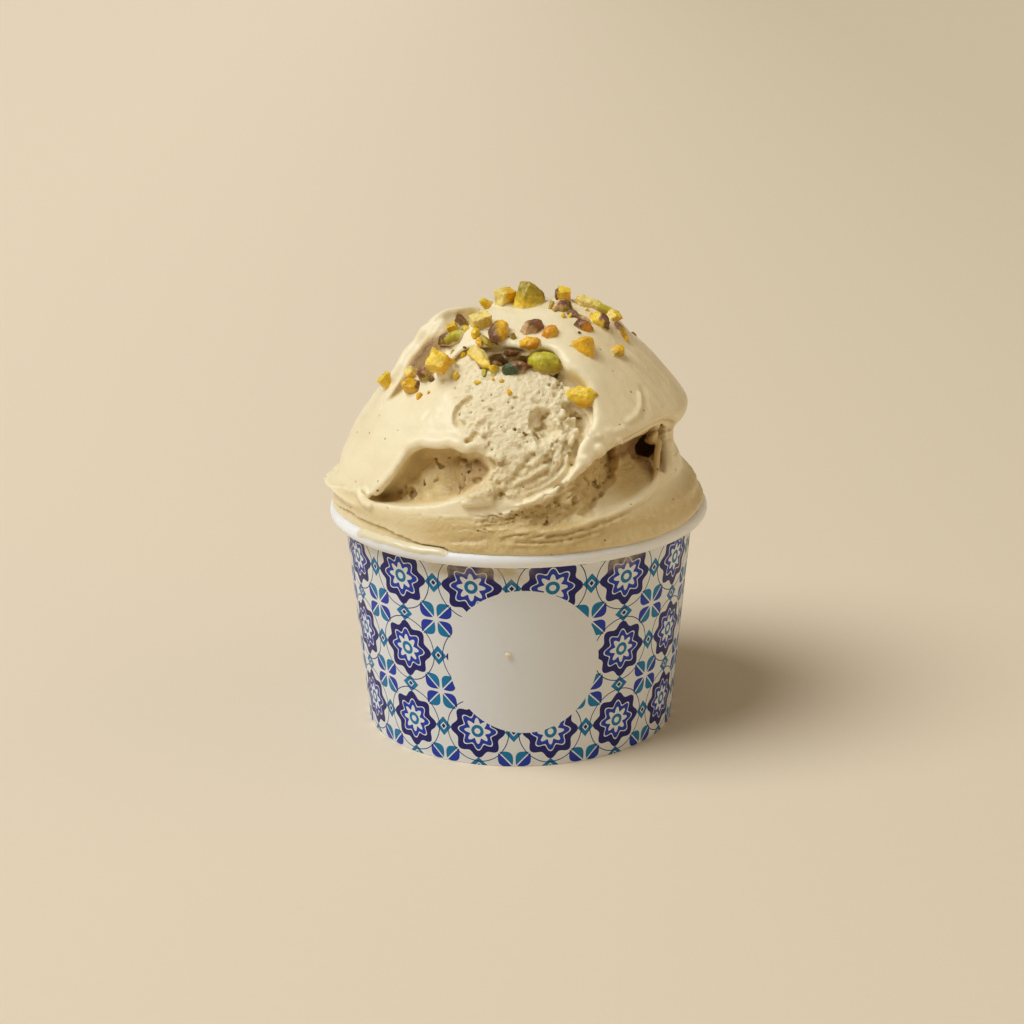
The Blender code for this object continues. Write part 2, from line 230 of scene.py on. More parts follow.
# Smooth sheet over the top and the right, with the tail that sweeps down to the left
SHEET_OUTLINE = (
    (-39, 44), (-39.5, 48), (-38.5, 54), (-33, 58.5), (-22, 59.5), (-8, 60.5), (0, 60), (9, 59.5),
    (15.5, 57.5), (18, 53), (19.5, 49.5), (24, 46), (26, 42), (25.5, 37), (23.5, 32.5), (20.5, 28.5),
    (17.5, 25), (15, 20.5), (11.5, 16.8), (5, 13), (-1, 10.6), (-8, 9.2), (-15, 7.8), (-24, 6.8),
    (-34, 6.1), (-44, 5.0), (-50, 3.9), (-44, 3.7), (-33, 4.6), (-24, 5.2), (-14, 6.0), (-5, 7.6), (2, 9.2),
    (8, 11.2), (13, 14.2), (18, 17.8), (24, 21.0), (32, 24.0), (42, 26.2), (54, 27.5), (62, 26.5), (74, 24),
    (95, 22), (125, 26), (160, 36), (-165, 48), (-140, 70), (-90, 80), (-55, 74), (-47, 66), (-45, 58),
    (-46, 50),
)
SHEET_THICKNESS = 2.5
TAIL_THICKNESS = 0.7

# Hollow scooped on the left under a melted lip
HOLLOW_OUTLINE = (
    (-54.5, 5.2), (-50, 9.0), (-46, 14), (-43.7, 18.5), (-41.5, 22.5), (-37, 24.4), (-31, 24.6),
    (-26, 25.4), (-21, 24.2), (-16, 24.4), (-11, 21), (-11.5, 17), (-16, 13), (-22, 9.4), (-30, 7.0),
    (-40, 5.2), (-50, 4.2),
)

# Smooth inner slope of the collar, and the porous band above it that deepens into a cave on the right
SLOPE_OUTLINE = (
    (-4, 1.8), (4.5, 1.8), (12.5, 2.4), (21.5, 4.1), (27, 4.9), (32.5, 5.9), (38, 6.9), (43, 8.2),
    (48.5, 9.8), (54.5, 12.2), (58.2, 14.8), (60.8, 18.0), (62.4, 22.0), (61.5, 26.5), (54, 27.5),
    (42, 26.2), (32, 24.0), (24, 21.0), (18, 17.8), (13, 14.2), (8, 11.2), (2, 9.2), (-4, 6.5),
)
BAND_OUTLINE = (
    (-15, 2.8), (-10, 2.3), (-4.5, 2.2), (1.5, 2.2), (6, 2.4), (10.5, 2.8), (16, 4.2), (20.5, 5.0),
    (23.5, 7.0), (27.5, 10.0), (32.5, 12.5), (36, 15.5), (38, 20.0), (38, 25.5), (32, 24.0), (24, 21.0),
    (18, 17.8), (13, 14.2), (8, 11.2), (2, 9.2), (-5, 7.2), (-11, 5.2),
)

# Fold in the shade of the lip that stands at the top left
FOLD_OUTLINE = (
    (-65.5, 36), (-60.5, 42), (-57, 49), (-54.5, 55.5), (-54, 61), (-58, 67), (-78, 73.5), (-104, 73),
    (-100, 69.0), (-83, 66.5), (-77.5, 62.5), (-80.5, 57.0), (-80, 52.5), (-75.5, 45.5), (-72.5, 39),
    (-69.5, 35),
)

# Lower left layer of the collar, which slips under the right one along a crease
CREASE = (
    (-84, -4.6), (-72, -2.6), (-62.5, -1.6), (-56.5, -1.9), (-50, -1.8), (-46, -2.0), (-39, -3.0),
    (-33, -4.0), (-28.5, -4.4), (-23.5, -4.7),
)

# Torn face of the ball, and the other places where the cream was pulled apart
TORN_OUTLINE = (
    (-37, 50), (-35, 45), (-31.5, 41), (-28, 37), (-27, 33), (-22, 29), (-18, 25.5), (-13, 23.5), (-13, 19),
    (-20, 18), (-24, 14), (-21, 10), (-13, 9.5), (-4, 10.5), (3, 13), (9, 16.5), (14, 21.5), (18, 26.5),
    (22, 31), (25, 36), (25.5, 42), (23, 46), (19, 49.5), (17.5, 54), (14, 58), (0, 60), (-20, 60),
    (-34, 58),
)

# Rims, beads and clots: (radius, lift from the plain heap, blend, places)
BEADS = (
    (1.0, -0.35, 1.3, ((-52, 7.2), (-48.5, 11.4), (-45.5, 16), (-43.5, 20.3), (-41.5, 23.6))),
    (1.3, -0.2, 1.5, ((-41.5, 23.6), (-38, 25.6), (-34, 25.9), (-30, 26.1), (-26.5, 27), (-23, 26.6))),
    (1.1, 0.0, 1.2, ((-23, 26.6), (-20, 25.4), (-17, 26.4), (-14.5, 26.2))),
    (0.8, 0.2, 0.8, ((-59.5, 5.6), (-58, 4.4), (-55.6, 3.4), (-52, 3.0))),
    (0.6, 0.35, 0.7, ((-57.5, 7.0), (-55.3, 6.6), (-54.2, 5.8))),
    (0.45, 0.0, 0.9, ((-92, 1.3), (-84, 1.5), (-76, 2.6), (-68, 3.9), (-59.5, 5.4))),
    (0.6, -0.2, 0.6, ((4.5, 1.0), (12.5, 1.5), (21.5, 3.2), (27, 4.0), (32.5, 5.0), (38, 6.0))),
    (0.7, -0.2, 0.6, ((38, 6.0), (43, 7.3), (48, 9.6), (51.5, 12.8), (54.5, 17.0), (57.5, 21.5))),
    (0.35, -0.05, 0.4, ((2, -1.2), (10, -0.9), (18, 0.4), (25, 1.6), (31, 2.8))),
    (0.3, -0.05, 0.4, ((-6, -2.4), (4, -2.6), (13, -2.2), (22, -0.8))),
    (0.9, 2.5, 0.6, ((23.6, 24.2), (24.6, 23.2))),
    (0.7, 2.4, 0.5, ((18.6, 21.6), (19.6, 20.6))),
    (0.6, 2.3, 0.6, ((21.6, 28.6), (22.4, 27.4), (24.2, 27.4))),
    (1.1, 0.5, 0.9, ((-16, 11.2), (-13.2, 12.0), (-11, 13.0))),
    (0.8, 0.5, 0.8, ((-18.5, 9.0), (-15, 9.5), (-11, 10.4))),
    (1.3, -0.3, 0.8, ((-10.2, 23.8), (-8.6, 23.0))),
    (1.3, -0.2, 0.9, ((3.2, 25.4), (4.8, 24.6))),
    (0.5, 2.3, 0.6, ((31.4, 25.4), (32.6, 24.9))),
    (0.5, 2.2, 0.6, ((28, 28.6), (31, 28.2), (34.5, 28.6))),
    (0.8, 0.1, 0.5, ((11, 38.8), (12, 38.0))),
    (0.8, 0.2, 0.5, ((14.4, 36.6), (13.8, 35.6))),
    (0.7, 0.3, 0.5, ((11.8, 33.4), (12.4, 32.4))),
    (0.9, 0.2, 0.5, ((16.0, 33.6), (15.2, 32.0))),
    (0.8, 0.5, 0.5, ((18.2, 31.4), (17.2, 30.2))),
    (0.9, 0.3, 0.5, ((13.2, 29.6), (12.2, 28.4))),
    (0.7, 0.5, 0.5, ((15.6, 28.4), (15.0, 27.2))),
    (0.7, 0.2, 0.5, ((9.5, 28.5), (8.6, 27.6))),
    (0.7, 0.0, 0.6, ((-2, 31), (-1.2, 30))),
    (0.8, 0.1, 0.6, ((-15, 30.2), (-13.4, 31.0))),
    (0.7, 0.1, 0.6, ((-17.6, 33.4), (-15.8, 34.6))),
    (0.5, 2.4, 0.8, ((37, 30.5), (41, 31.5), (45, 34), (48, 37.5))),
    (1.5, 0.4, 1.6, ((-80, 42), (-81, 46), (-86, 52), (-88, 58))),
    (1.4, 0.1, 1.0, ((-88, 58), (-90, 63.5), (-103, 68), (-122, 71))),
)

# Tears, pits and creases: (radius, lift from the plain heap, blend, places)
TEARS = (
    (0.75, -0.35, 0.3, ((-22.5, 41.0), (-25.0, 39.8), (-26.8, 37.6), (-26.8, 35.0), (-25.2, 32.8))),
    (0.85, 0.0, 0.4, ((-26.4, 34.4), (-25.2, 32.7), (-22.8, 32.2))),
    (1.0, -0.1, 0.4, ((3.0, 33.2), (3.2, 35.4), (5.2, 37.0))),
    (1.5, -0.5, 0.5, ((17.5, 38.0), (20.3, 36.4), (21.8, 33.8), (21.4, 31.6))),
    (1.3, -2.2, 0.5, ((20.0, 35.6), (21.2, 32.8))),
    (1.15, -0.4, 0.5, ((-11.6, 21.6), (-11.0, 20.4))),
    (0.7, -0.1, 0.3, ((-17.6, 30.0), (-18.8, 28.2), (-20.0, 27.4))),
    (0.6, 0.1, 0.3, ((0.8, 22.4), (-1.8, 19.8), (-3.8, 16.8), (-4.4, 15.0))),
    (1.0, -0.2, 0.3, ((17.2, 27.0), (16.8, 24.0), (15.4, 21.2))),
    (0.7, 0.15, 0.25, ((15.4, 21.2), (12.2, 17.0), (7.0, 14.0), (1.0, 11.8))),
    (0.7, 0.25, 0.25, ((13.0, 25.0), (12.0, 21.0), (9.0, 17.5), (4.5, 14.8), (-2.0, 12.8))),
    (0.7, 0.25, 0.25, ((9.0, 24.5), (8.0, 20.5), (4.0, 17.2), (-2.0, 14.4), (-7.5, 12.8))),
    (0.6, 0.2, 0.25, ((2.5, 24.0), (-0.5, 21.0), (-3.0, 17.0), (-6.0, 15.2))),
    (0.6, 0.2, 0.25, ((-8.0, 22.0), (-9.5, 18.5), (-13.0, 15.6))),
    (1.3, -0.8, 0.5, ((10.6, 13.2), (11.6, 11.4), (9.6, 10.2))),
    (0.8, -0.7, 0.3, ((-28.6, -5.3), (-25.5, -5.5), (-23.8, -5.6))),
    (0.9, 1.0, 1.6, ((-68, 40), (-69.5, 44))),
    (1.9, 0.1, 1.2, ((-70, 45), (-70, 48), (-71.5, 53), (-73, 59), (-73.5, 64))),
    (1.7, 0.1, 1.0, ((-74, 65), (-90, 70), (-112, 73))),
    (2.6, 1.7, 1.6, ((-85, 69.5), (-62, 65.0), (-51.5, 59.5), (-49, 53))),
    (0.4, 0.3, 0.4, ((-38.5, 36.4), (-39.8, 34.2), (-40.4, 32.6))),
    (0.35, 0.3, 0.4, ((-33.6, 35.0), (-34.4, 34.0))),
    (0.8, 3.5, 1.1, ((44, 30.6), (47.5, 33.0), (50.5, 36.0), (52.5, 39))),
    (1.5, -0.6, 0.5, ((-24, 55.0), (-20, 56.0), (-14, 56.6), (-9, 56.2))),
    (2.0, -1.8, 0.4, ((-17, 57.2), (-12, 58.2), (-7, 58.0))),
    (2.2, -2.6, 0.4, ((-9, 57.6), (-3, 58.4), (2, 57.6))),
    (1.8, -1.4, 0.4, ((-2, 56.6), (4, 57.0), (9, 56.0), (14, 53.0))),
    (1.2, -0.5, 0.5, ((14.5, 52.0), (18.4, 48.8), (22.5, 45.6), (24.4, 42.0))),
    (0.35, 0.2, 0.3, ((6, -0.1), (13, 0.4), (20, 1.6), (27, 2.8), (33, 3.8))),
    (0.3, 0.2, 0.3, ((-3, -1.8), (6, -1.8), (14, -1.2), (21, -0.1))),
    (0.7, -0.3, 0.25, ((2.6, 37.0), (2.4, 34.0), (3.2, 31.0), (5.2, 29.2), (8.0, 28.9))),
    (2.7, 0.7, 0.25, ((6.0, 35.0), (6.6, 33.4), (7.4, 31.6))),
    (0.7, -2.6, 0.3, ((-20.5, 19.5), (-21.5, 16.5), (-24.0, 14.0))),
    (0.9, -5.5, 0.5, ((-46.5, 8.0), (-43.5, 9.0))),
    (0.8, -4.5, 0.5, ((-40.0, 16.0), (-38.0, 15.0))),
)

# Cave on the right, and the drips and the post left standing in it: (radius, lift from the plain heap,
# blend, places)
CAVE = (
    (2.4, -2.3, 1.4, ((41.0, 22.0), (46.0, 22.8), (51.0, 23.0))),
    (2.1, -3.4, 1.6, ((50.5, 21.6), (56.0, 21.6), (61.0, 22.0))),
    (2.1, -5.2, 1.6, ((59.5, 20.0), (64.5, 20.4), (70.0, 20.8))),
    (1.8, -6.6, 1.2, ((66.0, 18.6), (74.0, 19.4))),
    (1.2, -2.4, 0.5, ((46.5, 20.2), (53.5, 18.6), (60.5, 16.8), (64.0, 15.6))),
    (1.3, -2.2, 0.8, ((54.5, 26.8), (59.0, 27.6), (64.0, 28.4))),
    (1.7, -0.8, 0.8, ((62.4, 24.0), (62.6, 20.6), (61.4, 17.8), (59.0, 15.2), (57.0, 13.8))),
)
DRIPS = (
    (1.5, -0.7, 0.7, ((70.0, 31.0), (69.0, 26.0), (69.5, 22.0), (67.5, 18.5), (65.5, 15.0), (63.0, 12.0))),
    (1.4, -1.9, 0.5, ((60.5, 31.0), (58.6, 28.4), (56.6, 26.0), (56.2, 23.8))),
    (0.9, -2.2, 0.3, ((61.4, 20.6), (60.6, 19.0))),
    (0.7, -2.2, 0.5, ((53.5, 29.4), (53.8, 28.0))),
)


def cream_noise(place, size, seed):
    """Smooth noise from -1 to 1 with lumps of about the given size, on places given as (x, y, z) arrays."""
    chance = np.random.default_rng(seed)
    lattice = (chance.random((32, 32, 32), dtype=np.float32) * 2.0 - 1.0)
    turn = np.linalg.qr(chance.normal(size=(3, 3)))[0].astype(np.float32) / np.float32(size)
    cell = []
    part = []
    for row in turn:
        along = place[0] * row[0] + place[1] * row[1] + place[2] * row[2] + 97.0
        floor = np.floor(along)
        share = along - floor
        part.append(share * share * (3.0 - 2.0 * share))
        cell.append((floor.astype(np.int32) & 31, (floor.astype(np.int32) + 1) & 31))
    value = 0.0
    for a in (0, 1):
        across_a = part[0] if a else 1.0 - part[0]
        for b in (0, 1):
            across_b = across_a * (part[1] if b else 1.0 - part[1])
            for c in (0, 1):
                weight = across_b * (part[2] if c else 1.0 - part[2])
                value = value + lattice[cell[0][a], cell[1][b], cell[2][c]] * weight
    return value


def bubbles(place, spacing, share, seed):
    """How deep each point lies in the nearest of many scattered round bubbles, negative outside them."""
    chance = np.random.default_rng(seed)
    lattice = chance.random((24, 24, 24, 5), dtype=np.float32)
    cells = [axis / np.float32(spacing) + 61.0 for axis in place]
    corner = [np.floor(axis - 0.5).astype(np.int32) for axis in cells]
    best = np.full(place[0].shape, -9.0, dtype=np.float32)
    for offset in np.ndindex(2, 2, 2):
        index = [axis + step for axis, step in zip(corner, offset)]
        drawn = lattice[index[0] % 24, index[1] % 24, index[2] % 24]
        away = 0.0
        for axis in range(3):
            away = away + (cells[axis] - index[axis] - 0.25 - 0.5 * drawn[:, axis]) ** 2
        radius = np.where(drawn[:, 4] < share, 0.10 + 0.18 * drawn[:, 3], -9.0)
        best = np.maximum(best, radius - np.sqrt(away))
    return best * spacing


def heap_point(bearing, rise, lift, reach_map):
    """Points of space from bearing, rise and lift above the plain heap."""
    bearing, rise = np.asarray(bearing, dtype=float), np.asarray(rise, dtype=float)
    u, v = on_map(bearing, rise).T
    reach = read_map(reach_map, u, v) + lift
    turn, tilt = np.radians(bearing), np.radians(rise)
    way = np.stack([np.cos(tilt) * np.sin(turn), -np.cos(tilt) * np.cos(turn), np.sin(tilt)], axis=-1)
    return HEART + way * reach[..., None]


class Clay:
    """Points in the band of space that the cream's surface can lie in, each with its distance outside it."""

    def __init__(self, x, y, z, maps):
        self.maps = maps
        self.xyz = [x, y, z]
        away = [x - HEART[0], y - HEART[1], z - HEART[2]]
        flat = np.hypot(away[0], away[1])
        self.reach = np.hypot(flat, away[2])
        rise = np.degrees(np.arctan2(away[2], flat))
        scale = QUARTER_ARC * (90.0 - rise) / 90.0 / np.maximum(flat, 1e-6)
        self.u = away[0] * scale
        self.v = -away[1] * scale
        self.plain = read_map(maps["reach"], self.u, self.v)
        self.field = self.reach - self.plain

    def read(self, name, du=0.0, dv=0.0, chosen=slice(None)):
        """A map's value at each point, or at a place shifted on the map."""
        return read_map(self.maps[name], self.u[chosen] + du, self.v[chosen] + dv)

    def distance_to(self, line, reach):
        """Which points lie near a line in space, and how far from it they are."""
        low, high = line.min(axis=0) - reach, line.max(axis=0) + reach
        near = np.ones(self.reach.shape, dtype=bool)
        for axis in range(3):
            near &= (self.xyz[axis] > low[axis]) & (self.xyz[axis] < high[axis])
        near = np.flatnonzero(near)
        place = np.stack([axis[near] for axis in self.xyz], axis=-1)
        distance = np.full(len(near), 99.0, dtype=np.float32)
        ends = line[1:] if len(line) > 1 else line
        for start, end in zip(line, ends):
            along = (end - start).astype(np.float32)
            offset = place - start.astype(np.float32)
            share = np.clip(offset @ along / max(float(along @ along), 1e-9), 0.0, 1.0)
            distance = np.minimum(distance, np.linalg.norm(offset - share[:, None] * along, axis=1))
        return near, distance

    def line_of(self, lift, places):
        """The line through some places, lifted from the plain heap."""
        if len(places) > 2:
            points = curve_through(places, pieces=4)
        else:
            points = on_map(*np.array(places, dtype=float).T)
        distance = np.hypot(points[:, 0], points[:, 1])
        bearing = np.degrees(np.arctan2(points[:, 0], points[:, 1]))
        return heap_point(bearing, 90.0 - distance * 90.0 / QUARTER_ARC, lift, self.maps["reach"])

    def add(self, radius, lift, blend, places):
        """Lays a rope of cream along a line."""
        near, distance = self.distance_to(self.line_of(lift, places), radius + 2.0 * blend + 1.0)
        self.field[near] = soft_min(self.field[near], distance - radius, blend)

    def dig(self, radius, lift, blend, places):
        """Draws a round tool along a line."""
        near, distance = self.distance_to(self.line_of(lift, places), radius + 2.0 * blend + 1.0)
        self.field[near] = soft_max(self.field[near], radius - distance, blend)


def heap_maps():
    """Every map that the cream's shape and texture read."""
    maps = {"reach": rolled_heap()}
    maps["sheet"] = depth_map(SHEET_OUTLINE)
    maps["hollow"] = depth_map(HOLLOW_OUTLINE)
    maps["slope"] = depth_map(SLOPE_OUTLINE)
    maps["band"] = depth_map(BAND_OUTLINE)
    maps["torn"] = depth_map(TORN_OUTLINE)
    maps["fold"] = depth_map(FOLD_OUTLINE)
    under = [*CREASE, (-22, -7), (-24, -12), (-50, -12), (-84, -12), (-92, -8)]
    maps["under_crease"] = depth_map(under, reach=6.0)
    # the sheet is thick on the cap and the lobe, and thin at the tail's end and the cap's left corner
    off_tail = step_up(MAP_BEARING, -28, 14) + step_up(MAP_RISE, 30, 40)
    off_corner = step_up(MAP_BEARING, -46, -24) + (np.abs(MAP_BEARING) > 60) + step_up(MAP_RISE, 60, 68)
    full = np.clip(off_tail, 0, 1) * (0.45 + 0.55 * np.clip(off_corner, 0, 1))
    lobe = np.exp(-((MAP_BEARING - 22.0) / 15.0) ** 2 - ((MAP_RISE - 50.0) / 10.0) ** 2)
    maps["thick"] = TAIL_THICKNESS + (SHEET_THICKNESS - TAIL_THICKNESS) * full + 1.3 * lobe
    maps["sheet_rise"] = maps["thick"] * (maps["sheet"] > 0.0)
    maps["bearing"] = MAP_BEARING
    maps["rise"] = MAP_RISE
    return {name: table.astype(np.float32) for name, table in maps.items()}


def shape_cream(clay):
    """Lays the sheet on the ball, scoops the hollow, the slope and the cave, and adds lips and tears."""
    bearing = clay.read("bearing")
    thick = clay.read("thick")
    top = clay.plain + thick
    below_top = top - clay.reach
    overhang = 1.0 + 1.4 * step_up(clay.read("rise"), 50, 58)
    edge = overhang * step_up(below_top, 0.35 * thick, 1.2 * thick) - clay.read("sheet")
    lump = 0.5 * cream_noise(clay.xyz, 5.0, 11)
    tail = step_up(bearing, 34, 14) * step_up(clay.read("rise"), 26, 16)
    edge = edge + tail * (0.9 * cream_noise(clay.xyz, 1.5, 34) + 0.5)
    sheet = soft_max(clay.reach - top, edge + lump, 1.7)
    clay.field = soft_min(clay.field, sheet, 0.3)

    depth = clay.plain - clay.reach
    near = np.flatnonzero((bearing > -75) & (bearing < 5) & (clay.read("hollow") > -9.0))
    sunk = depth[near]
    # the scoop runs in under its upper left lip and comes out gently at the lower right
    walls = clay.read("hollow", 0.42 * sunk, 0.30 * sunk, near) + 0.35 * lump[near]
    floor = 5.6 - 3.4 * step_up(bearing[near], -31, -11) - sunk
    clay.field[near] = soft_max(clay.field[near], soft_min(walls, floor, 2.6), 0.35)

    near = np.flatnonzero((bearing > -12) & (bearing < 75) & (clay.read("slope") > -9.0))
    sunk = depth[near]
    walls = clay.read("slope", 0.0, 0.30 * sunk, near)
    floor = 1.1 + 6.8 * step_up(bearing[near], 8, 54)
    drop = np.minimum(1.5 * walls, 1.0 + 0.55 * (walls - 0.67))
    clay.field[near] = soft_max(clay.field[near], soft_min(drop, floor, 1.0) - sunk, 0.20)

    near = np.flatnonzero((bearing > -25) & (bearing < 70) & (clay.read("band") > -8.0))
    sunk = depth[near]
    ragged = 0.8 * cream_noise([axis[near] for axis in clay.xyz], 1.7, 12) * step_up(bearing[near], 44, 34)
    walls = clay.read("band", 0.05 * sunk, 0.12 * sunk, near) + ragged
    floor = 0.6 + 0.6 * step_up(bearing[near], -8, 8) + 9.0 * step_up(bearing[near], 10, 56) - sunk
    clay.field[near] = soft_max(clay.field[near], soft_min(walls, floor, 0.7), 0.25)

    near = np.flatnonzero((bearing > -100) & (bearing < -15) & (clay.read("under_crease") > -4.0))
    sunk = depth[near]
    walls = clay.read("under_crease", chosen=near) + 0.25 * lump[near]
    floor = 0.9 * step_up(bearing[near], -92, -60) - sunk
    clay.field[near] = soft_max(clay.field[near], soft_min(walls, floor, 0.15), 0.12)

    for scoop in CAVE:
        clay.dig(*scoop)
    for rope in (*DRIPS, *BEADS):
        clay.add(*rope)
    for tear in TEARS:
        clay.dig(*tear)


def seat_nuts(clay, nuts):
    """A low collar of cream round the foot of each nut, so that none stands on a point."""
    for low, high in nuts:
        centre = (low + high) / 2.0
        out = centre - HEART
        out /= np.linalg.norm(out)
        radius = 0.40 * float(np.sort(high - low)[1])
        line = np.array([centre - out * radius * 1.25])
        near, distance = clay.distance_to(line, radius + 2.5)
        clay.field[near] = soft_min(clay.field[near], distance - radius, 1.1)


def torn_share(clay, near=slice(None)):
    """1 where the cream was torn and is porous, 0 where it was spread smooth."""
    bearing = clay.read("bearing", chosen=near)
    ball = step_up(clay.read("torn", chosen=near), -1.2, 1.6)
    band = step_up(clay.read("band", chosen=near), -0.4, 1.0) * step_up(bearing, 46, 34)
    sheet = step_up(clay.read("sheet", chosen=near), -0.6, 0.6)
    depth = clay.plain[near] - clay.reach[near]
    bare = 1.0 - sheet * step_up(depth, 1.0, -0.5)
    return np.clip(np.maximum(ball, band) * bare, 0.0, 1.0)


def crumbly(place, size, seed):
    """Rounded crumbs with sharp crevices between them, from -1 to 1."""
    return 1.6 * np.abs(cream_noise(place, size, seed)) ** 0.8 - 0.6


# Rise of the tail's lower edge by bearing; the streaks under it run alongside
TAIL_EDGE = (
    (-60, 0), (-26, 2), (-15, 3.5), (-6, 5), (0, 6.2), (5, 7.5), (10, 9.3), (15, 12), (20, 15), (26, 18),
    (32, 20.5), (45, 23),
)
# Round bubbles in the torn cream: (spacing, share of the places that have one, seed)
BUBBLE_SIZES = ((2.3, 0.16, 32), (1.3, 0.30, 33))


def roughen(clay, chosen):
    """Pores, crumbs, streaks and faint strokes on the points near the surface."""
    place = [axis[chosen] for axis in clay.xyz]
    bearing = clay.read("bearing", chosen=chosen)
    rise = clay.read("rise", chosen=chosen)
    torn = torn_share(clay, chosen)
    hollow = step_up(clay.read("hollow", chosen=chosen), 0.2, 1.6)
    bend = [axis + 0.5 * cream_noise(place, 2.4, seed) for axis, seed in zip(place, (14, 15, 16))]
    layered = [bend[0] * 0.7, bend[1] * 0.7, bend[2] + 0.45 * bend[0]]
    lower = step_up(rise, 44, 30)
    rough = np.maximum(step_up(bearing, 4, 12), step_up(cream_noise(place, 9.0, 35), 0.05, 0.40))
    crumbs = (
        (0.14 + 0.12 * lower) * crumbly(layered, 3.8, 21) + (0.12 + 0.06 * rough) * crumbly(layered, 1.9, 22)
        + (0.14 + 0.08 * rough) * cream_noise(bend, 1.1, 23) + 0.20 * cream_noise(place, 0.72, 24)
        + 0.26 * step_up(clay.read("band", chosen=chosen), 0.0, 1.5) * crumbly(bend, 1.3, 36)
    )
    hole = cream_noise(layered, 1.9, 17) + 0.55 * cream_noise(bend, 0.9, 25)
    pores = (0.55 + 0.40 * rough) * step_up(hole, 0.60 - 0.08 * rough, 0.84)
    relief = torn * (crumbs - pores)
    relief += hollow * (1.0 - torn) * (0.50 * crumbly(layered, 2.8, 18) - 0.9 * step_up(hole, 0.50, 0.75))

    # streaks that follow the tail round the foot of the ball
    out = -clay.read("sheet", chosen=chosen) + 0.5 * cream_noise(place, 4.0, 19)
    arcs = step_up(bearing, -20, -4) * step_up(rise, 38, 28) * step_up(out, 0.0, 1.0) * step_up(out, 11, 6)
    pulled = cream_noise([out, place[0] * 0.12, place[2] * 0.12], 0.9, 26)
    relief += arcs * (0.26 * pulled - 0.50 * step_up(pulled, 0.44, 0.70))
    # streaks along the tail and along the front of the collar
    run = rise + 0.7 * cream_noise(place, 7.0, 13) - np.interp(bearing, *zip(*TAIL_EDGE))
    front = step_up(bearing, -40, -18) * step_up(bearing, 52, 30)
    front = front * step_up(run, -10, -5) * step_up(run, 4.5, 2.0)
    pulled = cream_noise([run * 0.75, place[0] * 0.07, place[1] * 0.07], 0.55, 27)
    cracks = step_up(pulled + 0.4 * cream_noise(place, 1.4, 12), 0.34, 0.62) * step_up(run, -5.0, -2.0)
    relief += front * (0.30 * pulled - 0.6 * cracks * step_up(bearing, 30, 16))
    # the spatula's faint strokes on the smooth parts
    smooth = 1.0 - torn
    relief += smooth * 0.20 * cream_noise(place, 9.0, 28)
    relief += smooth * 0.08 * cream_noise([place[0] + 0.5 * place[2], place[1], place[2] * 0.2], 1.6, 29)
    collar = step_up(rise, 5.0, 2.0) * step_up(bearing, -30, 0) * step_up(bearing, 172, 120)
    relief += smooth * (0.05 + 0.13 * collar) * cream_noise(place, 0.9, 30)
    clay.field[chosen] -= relief
    pitted = np.clip(torn + 0.9 * hollow + 0.45 * collar, 0.0, 1.0)
    for spacing, share, seed in BUBBLE_SIZES:
        pits = bubbles(place, spacing, share, seed) - 1.6 * (1.0 - pitted)
        clay.field[chosen] = soft_max(clay.field[chosen], pits, 0.10)


# Edge of the cream on the rim, and how much farther it runs out on the left and the front
EDGE_RADIUS = 42.1
EDGE_HEIGHT = 52.3
EDGE_RUN = 1.05


def keep_in_cup(clay):
    """Ends the cream on the rim's roll, the wall and the bottom disc."""
    x, y, z = clay.xyz
    radius = np.hypot(x, y)
    ragged = 0.35 * cream_noise(clay.xyz, 4.0, 31)
    bearing = np.degrees(np.arctan2(x, -y))
    run_out = EDGE_RUN * step_up(bearing, -102, -80) * step_up(bearing, 84, 50)
    edge = 0.80 * (radius - EDGE_RADIUS - run_out - ragged - 0.8 * (z - EDGE_HEIGHT))
    roll = (ROLL_RADIUS - 0.25) - np.hypot(radius - ROLL_CENTRE[0], z - ROLL_CENTRE[1])
    wall = radius - inner_wall_radius(np.minimum(z, ROLL_CENTRE[1])) + 0.1
    wall = np.where(z < ROLL_CENTRE[1] + 0.6, wall, -9.0)
    clay.field = soft_max(clay.field, edge, 0.5)
    clay.field = np.maximum(clay.field, np.maximum(roll, wall))
    clay.field = np.maximum(clay.field, DISC_HEIGHT + PAPER + 0.1 - z)


# Mesh of the cream: its steps at the front and at the back, its number of triangles, and the box that it is
# sculpted in, with the place from which the steps are the back's
CREAM_STEP = 0.33
BACK_STEP = 1.1
CREAM_TRIANGLES = 194000
BOX_SIDE = 46.5
BOX_FRONT = -45.5
BACK_FROM = 6.0
BOX_BACK = 46.0
BOX_TOP = 103.0
# Its surface lies between two reaches from HEART: what is nearer is cream and what is farther is air, and
# both count as FAR_AWAY from the surface
CORE_REACH = 28.0
AIR_REACH = 49.0
FAR_AWAY = 4.0
# Below SOLID_HEIGHT the cup is full, above ROUGH_HEIGHT a band on each side of the surface is roughened, and
# below CUT_HEIGHT the sides are plain and stand a small gap clear of the paper
SOLID_HEIGHT = 50.5
ROUGH_HEIGHT = 52.6
SKIN_BAND = 1.6
CUT_HEIGHT = 49.0
CREAM_GAP = 0.15


def grid_ticks():
    """Fine steps where the cream is seen from the front and coarser ones at the back."""
    across = np.arange(-BOX_SIDE, BOX_SIDE, CREAM_STEP)
    fore = np.arange(BOX_FRONT, BACK_FROM, CREAM_STEP)
    aft = np.arange(fore[-1] + BACK_STEP, BOX_BACK, BACK_STEP)
    up = np.arange(CUT_HEIGHT - 2.0, BOX_TOP, CREAM_STEP)
    return across, np.concatenate([fore, aft]), up


